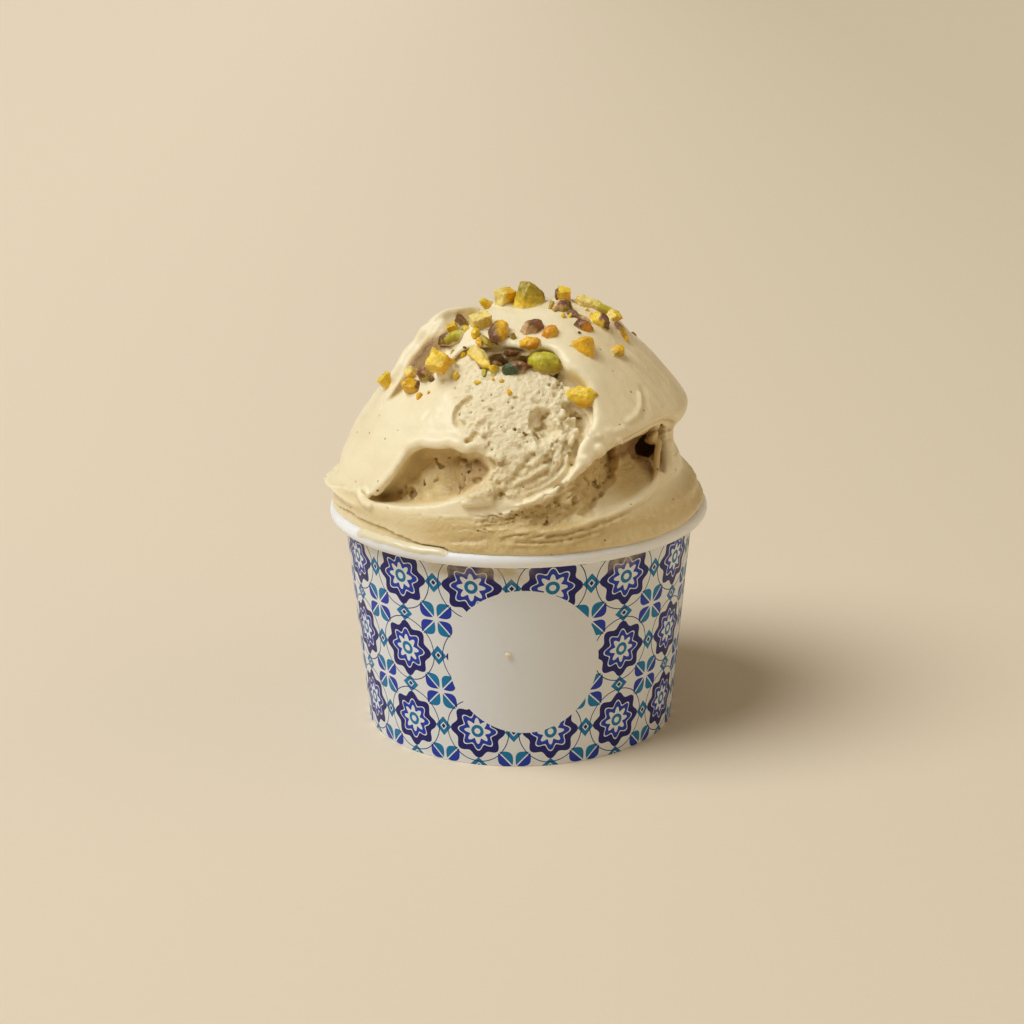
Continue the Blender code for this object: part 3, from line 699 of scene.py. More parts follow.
def sculpt_cream(maps, nuts):
    """The skin of the heap down to CUT_HEIGHT and a little below: points in millimetres, and quads."""
    ticks = grid_ticks()
    shape = tuple(len(axis) for axis in ticks)
    x, y, z = (axis.astype(np.float32) for axis in ticks)
    away = np.sqrt(
        (x[:, None, None] - HEART[0]) ** 2 + (y[None, :, None] - HEART[1]) ** 2
        + (z[None, None, :] - HEART[2]) ** 2
    )
    whole = np.full(shape, FAR_AWAY, dtype=np.float32)
    whole[away < CORE_REACH] = -FAR_AWAY
    i, j, k = np.nonzero((away >= CORE_REACH) & (away < AIR_REACH))
    clay = Clay(x[i], y[j], z[k], maps)
    shape_cream(clay)
    seat_nuts(clay, nuts)
    clay.field[clay.xyz[2] < SOLID_HEIGHT] = -FAR_AWAY
    keep_in_cup(clay)
    roughen(clay, np.flatnonzero((np.abs(clay.field) < SKIN_BAND) & (clay.xyz[2] > ROUGH_HEIGHT)))
    whole[i, j, k] = np.clip(clay.field, -FAR_AWAY, FAR_AWAY)

    grid = openvdb.FloatGrid(background=FAR_AWAY)
    grid.copyFromArray(whole)
    points, quads = grid.convertToQuads(isovalue=0.0)
    points = np.stack(
        [np.interp(points[:, axis], np.arange(shape[axis]), ticks[axis]) for axis in range(3)], axis=-1
    )
    return points, quads


# ---------------------------------------------------------------------------------------------------------
# Tools of the bench

def select_only(piece):
    bpy.ops.object.select_all(action="DESELECT")
    piece.select_set(True)
    bpy.context.view_layer.objects.active = piece


def piece_from(name, points, faces):
    """A mesh piece from points in millimetres."""
    mesh = bpy.data.meshes.new(name)
    mesh.from_pydata((np.asarray(points) * MM).tolist(), [], [list(face) for face in faces])
    mesh.update()
    piece = bpy.data.objects.new(name, mesh)
    bpy.context.scene.collection.objects.link(piece)
    return piece


def points_of(piece):
    """A piece's points in millimetres."""
    flat = np.empty(3 * len(piece.data.vertices), dtype=np.float32)
    piece.data.vertices.foreach_get("co", flat)
    return flat.reshape(-1, 3) / MM


def move_points(piece, points):
    piece.data.vertices.foreach_set("co", (np.asarray(points, dtype=np.float32) * MM).ravel())
    piece.data.update()


def normals_of(piece):
    flat = np.empty(3 * len(piece.data.vertices), dtype=np.float32)
    piece.data.vertex_normals.foreach_get("vector", flat)
    return flat.reshape(-1, 3)


def note_on_points(piece, name, values):
    """Stores one number for each point, for the piece's material to read."""
    layer = piece.data.attributes.new(name, "FLOAT", "POINT")
    layer.data.foreach_set("value", np.asarray(values, dtype=np.float32))


def turn_faces_out(piece, merge=None):
    """Turns a closed shell's faces outwards, after merging points less than merge apart."""
    select_only(piece)
    bpy.ops.object.mode_set(mode="EDIT")
    bpy.ops.mesh.select_all(action="SELECT")
    if merge:
        bpy.ops.mesh.remove_doubles(threshold=merge * MM)
    bpy.ops.mesh.normals_make_consistent(inside=False)
    bpy.ops.object.mode_set(mode="OBJECT")


def hand_over(piece, node, materials, smooth_angle=None):
    """Gives a finished piece its materials, shading and body, and hides the CAD node that it takes the place
    of.
    """
    piece.data.materials.clear()
    for material in materials:
        piece.data.materials.append(material)
    select_only(piece)
    if smooth_angle is None:
        bpy.ops.object.shade_smooth()
    else:
        bpy.ops.object.shade_smooth_by_angle(angle=math.radians(smooth_angle))
    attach(piece, "root")
    if node:
        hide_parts(node)


# ---------------------------------------------------------------------------------------------------------
# Shader tools

def new_material(name):
    """A material with its node tree and its shader."""
    material = bpy.data.materials.new(name)
    material.use_nodes = True
    return material, material.node_tree, material.node_tree.nodes["Principled BSDF"]


def feed(tree, socket, value):
    """Links a socket to an input, or sets a plain value on it."""
    if isinstance(value, bpy.types.NodeSocket):
        tree.links.new(value, socket)
    else:
        socket.default_value = value


def add_node(tree, kind, **settings):
    """A node with its settings; inputs are given by name in a dictionary, as values or as sockets."""
    node = tree.nodes.new(kind)
    inputs = settings.pop("inputs", {})
    for name, value in settings.items():
        setattr(node, name, value)
    for name, value in inputs.items():
        feed(tree, node.inputs[name], value)
    return node


def math_node(tree, operation, first, second=0.0, third=0.0):
    node = add_node(tree, "ShaderNodeMath", operation=operation)
    for index, value in enumerate((first, second, third)):
        feed(tree, node.inputs[index], value)
    return node.outputs[0]


def ramp_between(tree, value, low, high):
    """0 at low and 1 at high, eased."""
    node = add_node(tree, "ShaderNodeMapRange", interpolation_type="SMOOTHSTEP", clamp=True)
    tree.links.new(value, node.inputs["Value"])
    node.inputs["From Min"].default_value = low
    node.inputs["From Max"].default_value = high
    return node.outputs["Result"]


def mix_colours(tree, share, first, second):
    node = add_node(tree, "ShaderNodeMix", data_type="RGBA")
    feed(tree, node.inputs[0], share)
    for index, colour in ((6, first), (7, second)):
        feed(tree, node.inputs[index], (*colour, 1.0) if isinstance(colour, tuple) else colour)
    return node.outputs[2]


def noise_of(tree, place, scale, detail=2.0, roughness=0.5):
    return add_node(
        tree, "ShaderNodeTexNoise",
        inputs={"Vector": place, "Scale": scale, "Detail": detail, "Roughness": roughness},
    ).outputs["Fac"]


def object_place(tree):
    return add_node(tree, "ShaderNodeTexCoord").outputs["Object"]


def read_note(tree, name):
    return add_node(tree, "ShaderNodeAttribute", attribute_name=name).outputs["Fac"]


def flecks_group():
    """Scattered flecks: a mask of small irregular dots, one in each of a share of the cells."""
    tree = bpy.data.node_groups.new("flecks", "ShaderNodeTree")
    tree.interface.new_socket("Place", in_out="INPUT", socket_type="NodeSocketVector")
    for name in ("Spacing", "Size", "Share"):
        tree.interface.new_socket(name, in_out="INPUT", socket_type="NodeSocketFloat")
    tree.interface.new_socket("Mask", in_out="OUTPUT", socket_type="NodeSocketFloat")
    given = tree.nodes.new("NodeGroupInput")
    result = tree.nodes.new("NodeGroupOutput")
    wobble = add_node(
        tree, "ShaderNodeTexNoise", inputs={"Vector": given.outputs["Place"], "Scale": 1800.0, "Detail": 1.0}
    )
    shift = add_node(
        tree, "ShaderNodeVectorMath", operation="MULTIPLY_ADD",
        inputs={0: wobble.outputs["Color"], 1: (0.0004, 0.0004, 0.0004), 2: given.outputs["Place"]},
    )
    density = math_node(tree, "DIVIDE", 1.0, given.outputs["Spacing"])
    cells = add_node(
        tree, "ShaderNodeTexVoronoi",
        inputs={"Vector": shift.outputs[0], "Scale": density, "Randomness": 1.0},
    )
    radius = math_node(tree, "DIVIDE", given.outputs["Size"], given.outputs["Spacing"])
    dot = math_node(tree, "LESS_THAN", cells.outputs["Distance"], radius)
    lot = add_node(tree, "ShaderNodeSeparateColor", inputs={"Color": cells.outputs["Color"]})
    drawn = math_node(tree, "LESS_THAN", lot.outputs["Red"], given.outputs["Share"])
    tree.links.new(math_node(tree, "MULTIPLY", dot, drawn), result.inputs["Mask"])
    return tree


def use_group(tree, group, **inputs):
    node = tree.nodes.new("ShaderNodeGroup")
    node.node_tree = group
    for name, value in inputs.items():
        feed(tree, node.inputs[name], value)
    return node.outputs


def bump_node(tree, height, distance, strength=1.0):
    return add_node(
        tree, "ShaderNodeBump", inputs={"Height": height, "Distance": distance, "Strength": strength}
    ).outputs["Normal"]


def let_light_in(shader, weight, reach, scale):
    """How much light goes under the skin, how far each colour gets, and that distance's scale in metres."""
    shader.inputs["Subsurface Weight"].default_value = weight
    shader.inputs["Subsurface Radius"].default_value = reach
    shader.inputs["Subsurface Scale"].default_value = scale


# ---------------------------------------------------------------------------------------------------------
# Cream

# Pale melted cream, dense cream that also serves as painted shade, and painted shade alone for the cave, the
# recess and the fold
CREAM_LIGHT = (0.91, 0.80, 0.545)
CREAM_DENSE_AND_SHADE = (0.66, 0.495, 0.225)
CREAM_SHADED = (0.36, 0.215, 0.075)
CREAM_GLOW = (1.0, 0.65, 0.35)
FLECK = (0.13, 0.11, 0.05)
MELT_DEEP = (0.77, 0.67, 0.43)
MELT_LIGHT = (0.81, 0.73, 0.54)


def cream_material(flecks):
    """Pistachio cream: pale and satin where it was spread, duller, deeper and grainy where it was torn, and
    painted shade in its hollows.
    """
    material, tree, shader = new_material("pistachio_cream")
    place = object_place(tree)
    torn = read_note(tree, "torn")
    density_and_shade = read_note(tree, "deep")
    cloud = noise_of(tree, place, 90.0, 3.0)
    grain = noise_of(tree, place, 900.0, 3.0, 0.6)
    # the deep note gives density and painted shade; past 1 the colour runs on into painted shade alone
    deep = math_node(tree, "ADD", math_node(tree, "MULTIPLY_ADD", cloud, 0.5, -0.13), density_and_shade)
    deep = math_node(tree, "MAXIMUM", deep, 0.0)
    colour = mix_colours(tree, math_node(tree, "MINIMUM", deep, 1.0), CREAM_LIGHT, CREAM_DENSE_AND_SHADE)
    colour = mix_colours(tree, ramp_between(tree, deep, 1.0, 2.0), colour, CREAM_SHADED)
    small = use_group(tree, flecks, Place=place, Spacing=0.0034, Size=0.00027, Share=0.55)
    large = use_group(tree, flecks, Place=place, Spacing=0.011, Size=0.00042, Share=0.5)
    dots = math_node(tree, "MAXIMUM", small["Mask"], large["Mask"])
    colour = mix_colours(tree, math_node(tree, "MULTIPLY", dots, 0.75), colour, FLECK)
    tree.links.new(colour, shader.inputs["Base Color"])
    wet = ramp_between(tree, cloud, 0.42, 0.62)
    rough = math_node(tree, "MULTIPLY_ADD", torn, 0.20, math_node(tree, "MULTIPLY_ADD", wet, -0.12, 0.36))
    rough = math_node(tree, "ADD", rough, math_node(tree, "MULTIPLY", grain, 0.12))
    tree.links.new(rough, shader.inputs["Roughness"])
    pores = noise_of(tree, place, 1300.0, 3.0, 0.6)
    gritty = math_node(tree, "MAXIMUM", torn, math_node(tree, "MULTIPLY", density_and_shade, 0.55))
    height = math_node(tree, "MULTIPLY", pores, math_node(tree, "MULTIPLY_ADD", gritty, 0.9, 0.08))
    tree.links.new(bump_node(tree, height, 0.00050), shader.inputs["Normal"])
    let_light_in(shader, 0.15, CREAM_GLOW, 0.0013)
    shader.inputs["IOR"].default_value = 1.42
    return material


def melted_material():
    """Melted cream, thin and glossy."""
    material, tree, shader = new_material("melted_cream")
    place = object_place(tree)
    cloud = noise_of(tree, place, 260.0, 3.0)
    tree.links.new(mix_colours(tree, cloud, MELT_DEEP, MELT_LIGHT), shader.inputs["Base Color"])
    tree.links.new(math_node(tree, "MULTIPLY_ADD", cloud, 0.15, 0.14), shader.inputs["Roughness"])
    tree.links.new(bump_node(tree, noise_of(tree, place, 500.0, 2.0), 0.0001, 0.6), shader.inputs["Normal"])
    let_light_in(shader, 0.15, CREAM_GLOW, 0.0005)
    return material


# ---------------------------------------------------------------------------------------------------------
# Paper cup

COAT_LIGHT = (0.88, 0.885, 0.875)
COAT_DEEP = (0.85, 0.845, 0.825)
COAT_GLOW = (1.0, 0.9, 0.8)
BOARD_LIGHT = (0.775, 0.80, 0.82)
BOARD_DEEP = (0.73, 0.735, 0.73)
CUP_STEPS = 200
DISC_STEPS = 160
MEAN_RADIUS = 39.0
SEAM_BEARING = 152.0
SEAM_LAP = 0.30


def ring_up(name, profile, segments):
    """A turned shell: a circle that is extruded and resized from station to station of (radius, height)."""
    bpy.ops.object.select_all(action="DESELECT")
    radius, height = profile[0]
    bpy.ops.mesh.primitive_circle_add(
        vertices=segments, radius=radius * MM, location=(0.0, 0.0, height * MM)
    )
    piece = bpy.context.active_object
    piece.name = name
    bpy.ops.object.transform_apply(location=True, rotation=True, scale=True)
    bpy.ops.object.mode_set(mode="EDIT")
    for (old_radius, old_height), (radius, height) in zip(profile, profile[1:]):
        bpy.ops.mesh.extrude_region_move(
            TRANSFORM_OT_translate={"value": (0.0, 0.0, (height - old_height) * MM)}
        )
        ratio = radius / old_radius
        bpy.ops.transform.resize(value=(ratio, ratio, 1.0), center_override=(0.0, 0.0, height * MM))
    bpy.ops.object.mode_set(mode="OBJECT")
    return piece


def close_up(piece):
    """Joins the first and last rings of a shell and turns its faces outwards."""
    select_only(piece)
    bpy.ops.object.mode_set(mode="EDIT")
    bpy.ops.mesh.select_all(action="DESELECT")
    bpy.ops.mesh.select_non_manifold(extend=False)
    bpy.ops.mesh.bridge_edge_loops()
    bpy.ops.object.mode_set(mode="OBJECT")
    turn_faces_out(piece, merge=0.001)


def cup_profile():
    """Once round the paper: up the outside, round the rim's curl, down the inside, into the foot's fold."""
    outer = [(FOOT_RADIUS - 0.25, 0.0), (FOOT_RADIUS - 0.03, 0.25)]
    outer += [(inner_wall_radius(height) + PAPER, height) for height in np.linspace(0.7, WALL_TOP, 12)]
    curl = []
    for angle in np.linspace(-118, 180, 22):
        turn = math.radians(angle)
        curl.append((
            ROLL_CENTRE[0] + ROLL_RADIUS * math.cos(turn), ROLL_CENTRE[1] + ROLL_RADIUS * math.sin(turn),
        ))
    outer.append((curl[0][0] - 0.35, curl[0][1] - 0.15))
    inner = [(inner_wall_radius(height), height) for height in (44.0, 25.0, PAPER + 0.3)]
    fold_outer = FOOT_RADIUS - PAPER - 0.6 - PAPER
    fold_inner = fold_outer - PAPER
    fold = [
        (inner_wall_radius(PAPER) - 0.2, PAPER), (fold_outer + 0.15, PAPER), (fold_outer, PAPER + 0.2),
        (fold_outer, FOLD_HEIGHT - 0.15), (fold_outer - 0.1, FOLD_HEIGHT), (fold_inner + 0.1, FOLD_HEIGHT),
        (fold_inner, FOLD_HEIGHT - 0.15), (fold_inner, 0.25), (fold_inner + 0.2, 0.0),
    ]
    return outer + curl + inner + fold


def make_cup(paper, printed):
    """The sidewall in one sheet with a rolled rim, a folded foot and a lapped seam at the back."""
    cup = ring_up("cup_wall", cup_profile(), CUP_STEPS)
    close_up(cup)
    points = points_of(cup)
    bearing = np.degrees(np.arctan2(points[:, 0], -points[:, 1]))
    past_seam = np.radians(bearing - SEAM_BEARING) * MEAN_RADIUS
    lap = SEAM_LAP * step_up(-past_seam, 0.0, 0.35) * step_up(past_seam, -9.0, -1.5)
    radius = np.hypot(points[:, 0], points[:, 1])
    inner_face = inner_wall_radius(points[:, 2])
    outside = step_up(radius, inner_face + 0.3, inner_face + 0.45)
    shrink = 1.0 - (SEAM_LAP * (points[:, 2] < LAP_TOP) * outside - lap * outside) / radius
    # the curl is rolled a little unevenly
    uneven = 0.05 * (np.sin(np.radians(bearing * 3 + 40)) - 1.0) * (points[:, 2] > CURL_BOTTOM)
    points[:, 0] *= shrink
    points[:, 1] *= shrink
    points[:, 2] += uneven
    move_points(cup, points)
    add_wrap_uv(cup)
    hand_over(cup, "cup", [paper, printed])
    for face in cup.data.polygons:
        centre = face.center / MM
        flat = math.hypot(centre.x, centre.y)
        outer_side = flat > inner_wall_radius(centre.z) + 0.15 - SEAM_LAP
        face.material_index = int(outer_side and 0.05 < centre.z < PRINT_TOP)


def add_wrap_uv(cup):
    """u runs once round the cup from the seam at the back, and v up the wall, each from 0 to 1."""
    layer = cup.data.uv_layers.new(name="wrap")
    points = points_of(cup)
    turn = (np.degrees(np.arctan2(points[:, 0], -points[:, 1])) - SEAM_BEARING) % 360.0 / 360.0
    loops = np.empty(len(cup.data.loops), dtype=np.int32)
    cup.data.loops.foreach_get("vertex_index", loops)
    u = turn[loops]
    for face in cup.data.polygons:
        span = slice(face.loop_start, face.loop_start + face.loop_total)
        if u[span].max() - u[span].min() > 0.5:
            u[span] = np.where(u[span] < 0.5, u[span] + 1.0, u[span])
    v = points[loops, 2] / CUP_HEIGHT
    layer.data.foreach_set("uv", np.stack([u, v], axis=-1).astype(np.float32).ravel())


def make_cup_base(paper):
    """The bottom disc with its skirt, which the foot's fold holds."""
    skirt_inner = FOOT_RADIUS - PAPER - 0.3 - PAPER
    profile = [
        (0.02, DISC_HEIGHT + PAPER), (10.0, DISC_HEIGHT + PAPER), (26.0, DISC_HEIGHT + PAPER),
        (inner_wall_radius(DISC_HEIGHT) - 0.75, DISC_HEIGHT + PAPER),
        (inner_wall_radius(DISC_HEIGHT) - 0.45, DISC_HEIGHT + PAPER - 0.12),
        (inner_wall_radius(DISC_HEIGHT) - 0.36, DISC_HEIGHT + 0.05),
        (inner_wall_radius(1.0) - 0.36, 1.05), (skirt_inner + 0.08, 1.05), (skirt_inner, 1.3),
        (skirt_inner, DISC_HEIGHT - 0.35), (skirt_inner - 0.3, DISC_HEIGHT), (24.0, DISC_HEIGHT),
        (9.0, DISC_HEIGHT), (0.02, DISC_HEIGHT),
    ]
    base = ring_up("cup_bottom", profile, DISC_STEPS)
    turn_faces_out(base, merge=0.05)
    hand_over(base, "cup_base", [paper], smooth_angle=40)


def board_texture(tree, place):
    """The board's fibres, its broad clouds, and the two together as a shade."""
    fibre = noise_of(tree, place, 700.0, 4.0, 0.65)
    cloud = noise_of(tree, place, 60.0, 2.0)
    shade = math_node(tree, "MULTIPLY_ADD", cloud, 0.5, math_node(tree, "MULTIPLY", fibre, 0.4))
    return fibre, cloud, shade


def paper_material():
    """Coated white board: faint fibres and a soft satin face."""
    material, tree, shader = new_material("coated_board")
    fibre, _, shade = board_texture(tree, object_place(tree))
    tree.links.new(mix_colours(tree, shade, COAT_LIGHT, COAT_DEEP), shader.inputs["Base Color"])
    tree.links.new(math_node(tree, "MULTIPLY_ADD", fibre, 0.14, 0.34), shader.inputs["Roughness"])
    tree.links.new(bump_node(tree, fibre, 0.00005, 0.7), shader.inputs["Normal"])
    let_light_in(shader, 0.6, COAT_GLOW, 0.004)
    return material


TILES_ROUND = 14
TILES_UP = 3.0
LABEL_RADIUS = 17.2
LABEL_HEIGHT = 25.6
LABEL_ASIDE = 0.7
INK_NAVY = (0.006, 0.006, 0.115)
INK_BLUE = (0.008, 0.034, 0.33)
INK_TEAL = (0.0, 0.155, 0.34)
SMEAR_COLOUR = (0.52, 0.42, 0.22)
# Cream wiped down from the rim: where each smear starts, is full, begins to fade and ends, across the front
SMEARS = ((-24.0, -16.0, -4.0, 6.0), (17.0, 21.0, 26.0, 31.0))


def less(tree, first, second):
    return math_node(tree, "LESS_THAN", first, second)


def length_of(tree, x, y):
    """The distance from the middle, from two coordinates."""
    squares = math_node(tree, "ADD", math_node(tree, "MULTIPLY", x, x), math_node(tree, "MULTIPLY", y, y))
    return math_node(tree, "SQRT", squares)


def between(tree, value, low, high):
    """1 between two bounds and 0 outside them."""
    return math_node(tree, "MULTIPLY", less(tree, low, value), less(tree, value, high))


def tile_group():
    """The wrap's tiles: rosettes ringed by a thin line, two-coloured leaves between, and small diamonds.

    Gives one mask for each ink; where masks overlap, navy goes over blue and blue over teal.
    """
    tree = bpy.data.node_groups.new("wrap_tiles", "ShaderNodeTree")
    tree.interface.new_socket("Place", in_out="INPUT", socket_type="NodeSocketVector")
    for name in ("Navy", "Blue", "Teal"):
        tree.interface.new_socket(name, in_out="OUTPUT", socket_type="NodeSocketFloat")
    given = tree.nodes.new("NodeGroupInput")
    result = tree.nodes.new("NodeGroupOutput")
    wander = add_node(
        tree, "ShaderNodeTexNoise", inputs={"Vector": given.outputs["Place"], "Scale": 2.6, "Detail": 2.0}
    )
    hand = add_node(
        tree, "ShaderNodeVectorMath", operation="MULTIPLY_ADD",
        inputs={0: wander.outputs["Color"], 1: (0.026, 0.026, 0.0), 2: given.outputs["Place"]},
    )
    parts = add_node(tree, "ShaderNodeSeparateXYZ", inputs={"Vector": hand.outputs[0]})
    x = math_node(tree, "SUBTRACT", math_node(tree, "FRACT", parts.outputs["X"]), 0.5)
    y = math_node(tree, "SUBTRACT", math_node(tree, "FRACT", parts.outputs["Y"]), 0.5)
    radius = length_of(tree, x, y)
    petals = math_node(tree, "COSINE", math_node(tree, "MULTIPLY", math_node(tree, "ARCTAN2", y, x), 8.0))
    rosette = math_node(tree, "SUBTRACT", radius, math_node(tree, "MULTIPLY", petals, 0.036))
    away_x = math_node(tree, "SUBTRACT", 0.5, math_node(tree, "ABSOLUTE", x))
    away_y = math_node(tree, "SUBTRACT", 0.5, math_node(tree, "ABSOLUTE", y))
    along = math_node(tree, "MULTIPLY", math_node(tree, "ADD", away_x, away_y), 0.7071)
    across = math_node(tree, "MULTIPLY", math_node(tree, "SUBTRACT", away_x, away_y), 0.7071)
    # leaves point from each corner of the tile to the rosettes
    bow = math_node(tree, "SINE", math_node(
        tree, "MULTIPLY", math_node(tree, "SUBTRACT", along, 0.035), math.pi / 0.275
    ))
    half_width = math_node(tree, "MULTIPLY", bow, 0.112)
    in_leaf = math_node(tree, "MULTIPLY", between(tree, along, 0.035, 0.31), less(
        tree, math_node(tree, "ABSOLUTE", across), half_width
    ))
    vein = less(tree, math_node(tree, "ABSOLUTE", across), 0.009)
    leaf = math_node(tree, "MULTIPLY", in_leaf, math_node(tree, "SUBTRACT", 1.0, vein))
    dark_half = math_node(tree, "MULTIPLY", leaf, less(tree, 0.0, across))
    # diamonds stand where two tiles meet
    from_edge = math_node(tree, "MINIMUM", away_x, away_y)
    from_middle = math_node(tree, "MINIMUM", math_node(tree, "ABSOLUTE", x), math_node(tree, "ABSOLUTE", y))
    diamond = math_node(tree, "ADD", math_node(tree, "MULTIPLY", from_edge, 1.15), from_middle)
    diamond_rim = between(tree, diamond, 0.058, 0.138)
    diamond_core = less(tree, diamond, 0.036)
    # the rosette, from its edge inwards
    ring_line = between(tree, radius, 0.428, 0.441)
    outer = between(tree, rosette, 0.246, 0.350)
    middle = between(tree, rosette, 0.150, 0.228)
    heart = between(tree, radius, 0.042, 0.088)
    navy = math_node(tree, "MAXIMUM", outer, math_node(tree, "MAXIMUM", ring_line, diamond_core))
    blue = math_node(tree, "MAXIMUM", middle, dark_half)
    teal = math_node(tree, "MAXIMUM", math_node(tree, "MAXIMUM", leaf, heart), diamond_rim)
    tree.links.new(navy, result.inputs["Navy"])
    tree.links.new(blue, result.inputs["Blue"])
    tree.links.new(teal, result.inputs["Teal"])
    return tree


def smear_mask(tree, place, aside, above):
    """Cream wiped down from the rim at the front, patchy and fading downwards."""
    cloud = noise_of(tree, place, 150.0, 4.0, 0.6)
    swathes = []
    for start, full, fade, end in SMEARS:
        rising = ramp_between(tree, aside, start, full)
        swathes.append(math_node(tree, "MULTIPLY", rising, ramp_between(tree, aside, end, fade)))
    height = math_node(tree, "ADD", above, math_node(tree, "MULTIPLY", cloud, 5.0))
    smear = math_node(tree, "MAXIMUM", *swathes)
    smear = math_node(tree, "MULTIPLY", smear, ramp_between(tree, height, 21.2, 24.4))
    return math_node(tree, "MULTIPLY", smear, ramp_between(tree, cloud, 0.30, 0.62))


def printed_material(tiles):
    """The board with its printed wrap, a bare round label at the front, and wiped cream under the rim."""
    material, tree, shader = new_material("printed_board")
    place = object_place(tree)
    wrap = add_node(tree, "ShaderNodeUVMap", uv_map="wrap").outputs["UV"]
    parts = add_node(tree, "ShaderNodeSeparateXYZ", inputs={"Vector": wrap})
    across, up = parts.outputs["X"], parts.outputs["Y"]
    scaled = add_node(
        tree, "ShaderNodeVectorMath", operation="MULTIPLY",
        inputs={0: wrap, 1: (TILES_ROUND, TILES_UP, 0.0)},
    ).outputs[0]
    inks = use_group(tree, tiles, Place=scaled)
    # the label is a true circle on the wall, wherever the wall is wider or narrower
    front = (-SEAM_BEARING % 360.0) / 360.0
    girth = math_node(tree, "MULTIPLY_ADD", up, math.tau * 4.5, math.tau * FOOT_RADIUS)
    aside = math_node(tree, "MULTIPLY_ADD", math_node(tree, "SUBTRACT", across, front), girth, -LABEL_ASIDE)
    above = math_node(tree, "MULTIPLY_ADD", up, CUP_HEIGHT, -LABEL_HEIGHT)
    shown = less(tree, LABEL_RADIUS, length_of(tree, aside, above))

    fibre, cloud, shade = board_texture(tree, place)
    colour = mix_colours(tree, shade, BOARD_LIGHT, BOARD_DEEP)
    thin = math_node(tree, "MULTIPLY", cloud, 0.5)
    for name, ink in (("Teal", INK_TEAL), ("Blue", INK_BLUE), ("Navy", INK_NAVY)):
        laid = mix_colours(tree, thin, ink, tuple(1.5 * part for part in ink))
        colour = mix_colours(tree, math_node(tree, "MULTIPLY", inks[name], shown), colour, laid)
    smear = smear_mask(tree, place, aside, above)
    colour = mix_colours(tree, math_node(tree, "MULTIPLY", smear, 0.85), colour, SMEAR_COLOUR)
    tree.links.new(colour, shader.inputs["Base Color"])
    tree.links.new(math_node(tree, "MULTIPLY_ADD", fibre, 0.14, 0.36), shader.inputs["Roughness"])
    tree.links.new(bump_node(tree, fibre, 0.00005, 0.7), shader.inputs["Normal"])
    shader.inputs["Specular IOR Level"].default_value = 0.3
    return material


# ---------------------------------------------------------------------------------------------------------
# Gelato

def pit_depth(piece, rounds):
    """How far each point lies below the mean level of the skin round it, in millimetres."""
    count = len(piece.data.vertices)
    ends = np.empty(len(piece.data.edges) * 2, dtype=np.int32)
    piece.data.edges.foreach_get("vertices", ends)
    a, b = ends[0::2], ends[1::2]
    links = np.bincount(ends, minlength=count)
    points = points_of(piece)
    level = points.copy()
    for _ in range(rounds):
        for axis in range(3):
            line = level[:, axis]
            total = np.bincount(a, line[b], count) + np.bincount(b, line[a], count)
            level[:, axis] = 0.5 * line + 0.5 * total / links
    return ((level - points) * normals_of(piece)).sum(axis=1)


def density_and_painted_shade(clay, torn, pits):
    """0 where pale and melted, 1 where dense or in painted shade, and up to 2 where the painted shade is
    deepest.
    """
    bearing, rise, sheet = clay.read("bearing"), clay.read("rise"), clay.read("sheet")
    below = clay.plain - clay.reach
    collar = step_up(rise, 7.0, 2.0) * (0.45 + 0.55 * step_up(bearing, -44, -16))
    collar = collar * step_up(bearing, -100, -60) * step_up(bearing, 172, 110)
    collar = collar * (1.0 - 0.28 * step_up(bearing, 8, 40))
    collar = collar * (1.0 - 0.6 * step_up(sheet, -0.6, 0.4))
    hollow = step_up(clay.read("hollow"), 0.0, 2.0)
    # painted shade below the plain heap, in the hollow, slope and fold; density in collar and torn cream;
    # both in the band
    whole = np.maximum.reduce([
        collar,
        0.9 * step_up(below, 1.2, 5.0),
        (0.74 + 0.8 * step_up(bearing, -40, -22)) * hollow,
        step_up(clay.read("band"), 0.0, 1.5),
        1.2 * step_up(clay.read("slope"), 0.0, 1.5) * step_up(bearing, 20, 42),
        1.9 * step_up(clay.read("fold"), -0.8, 1.6),
        0.55 * torn * step_up(rise, 30, 14),
        0.06 * torn,
        0.35 * step_up(np.abs(bearing), 95, 130),
    ])
    # painted shade at the back of the cave, under its roof
    whole = whole + 0.9 * step_up(bearing, 45, 53) * step_up(below, 0.3, 1.4) * step_up(rise, 11, 15)
    whole = whole + 0.5 * step_up(bearing, 33, 41) * step_up(below, 1.5, 3.5) * step_up(rise, 18, 21)
    # painted shade on the cream in the recess under the lip of the cap
    recess = step_up(rise, 50, 54) * step_up(below, 1.0, 3.5) * step_up(np.abs(bearing), 32, 24)
    under_lip = step_up(rise, 51.5, 54.5) * step_up(np.abs(bearing + 4.0), 20, 14)
    under_lip = under_lip * step_up(sheet, 0.4, -0.4) * step_up(-below, 1.2, 0.0)
    whole = whole + 1.2 * np.maximum(recess, under_lip)
    # painted shade in the pits and painted light on the bumps, and painted shade on the right flank away
    # from the window
    whole = whole + 0.5 * step_up(pits, 0.03, 0.38) - 0.30 * step_up(-pits, 0.02, 0.20)
    flank = step_up(bearing, 18, 50) * step_up(rise, 24, 30) * step_up(np.abs(bearing), 100, 80)
    return np.clip(whole + 0.22 * flank, 0.0, 2.0)


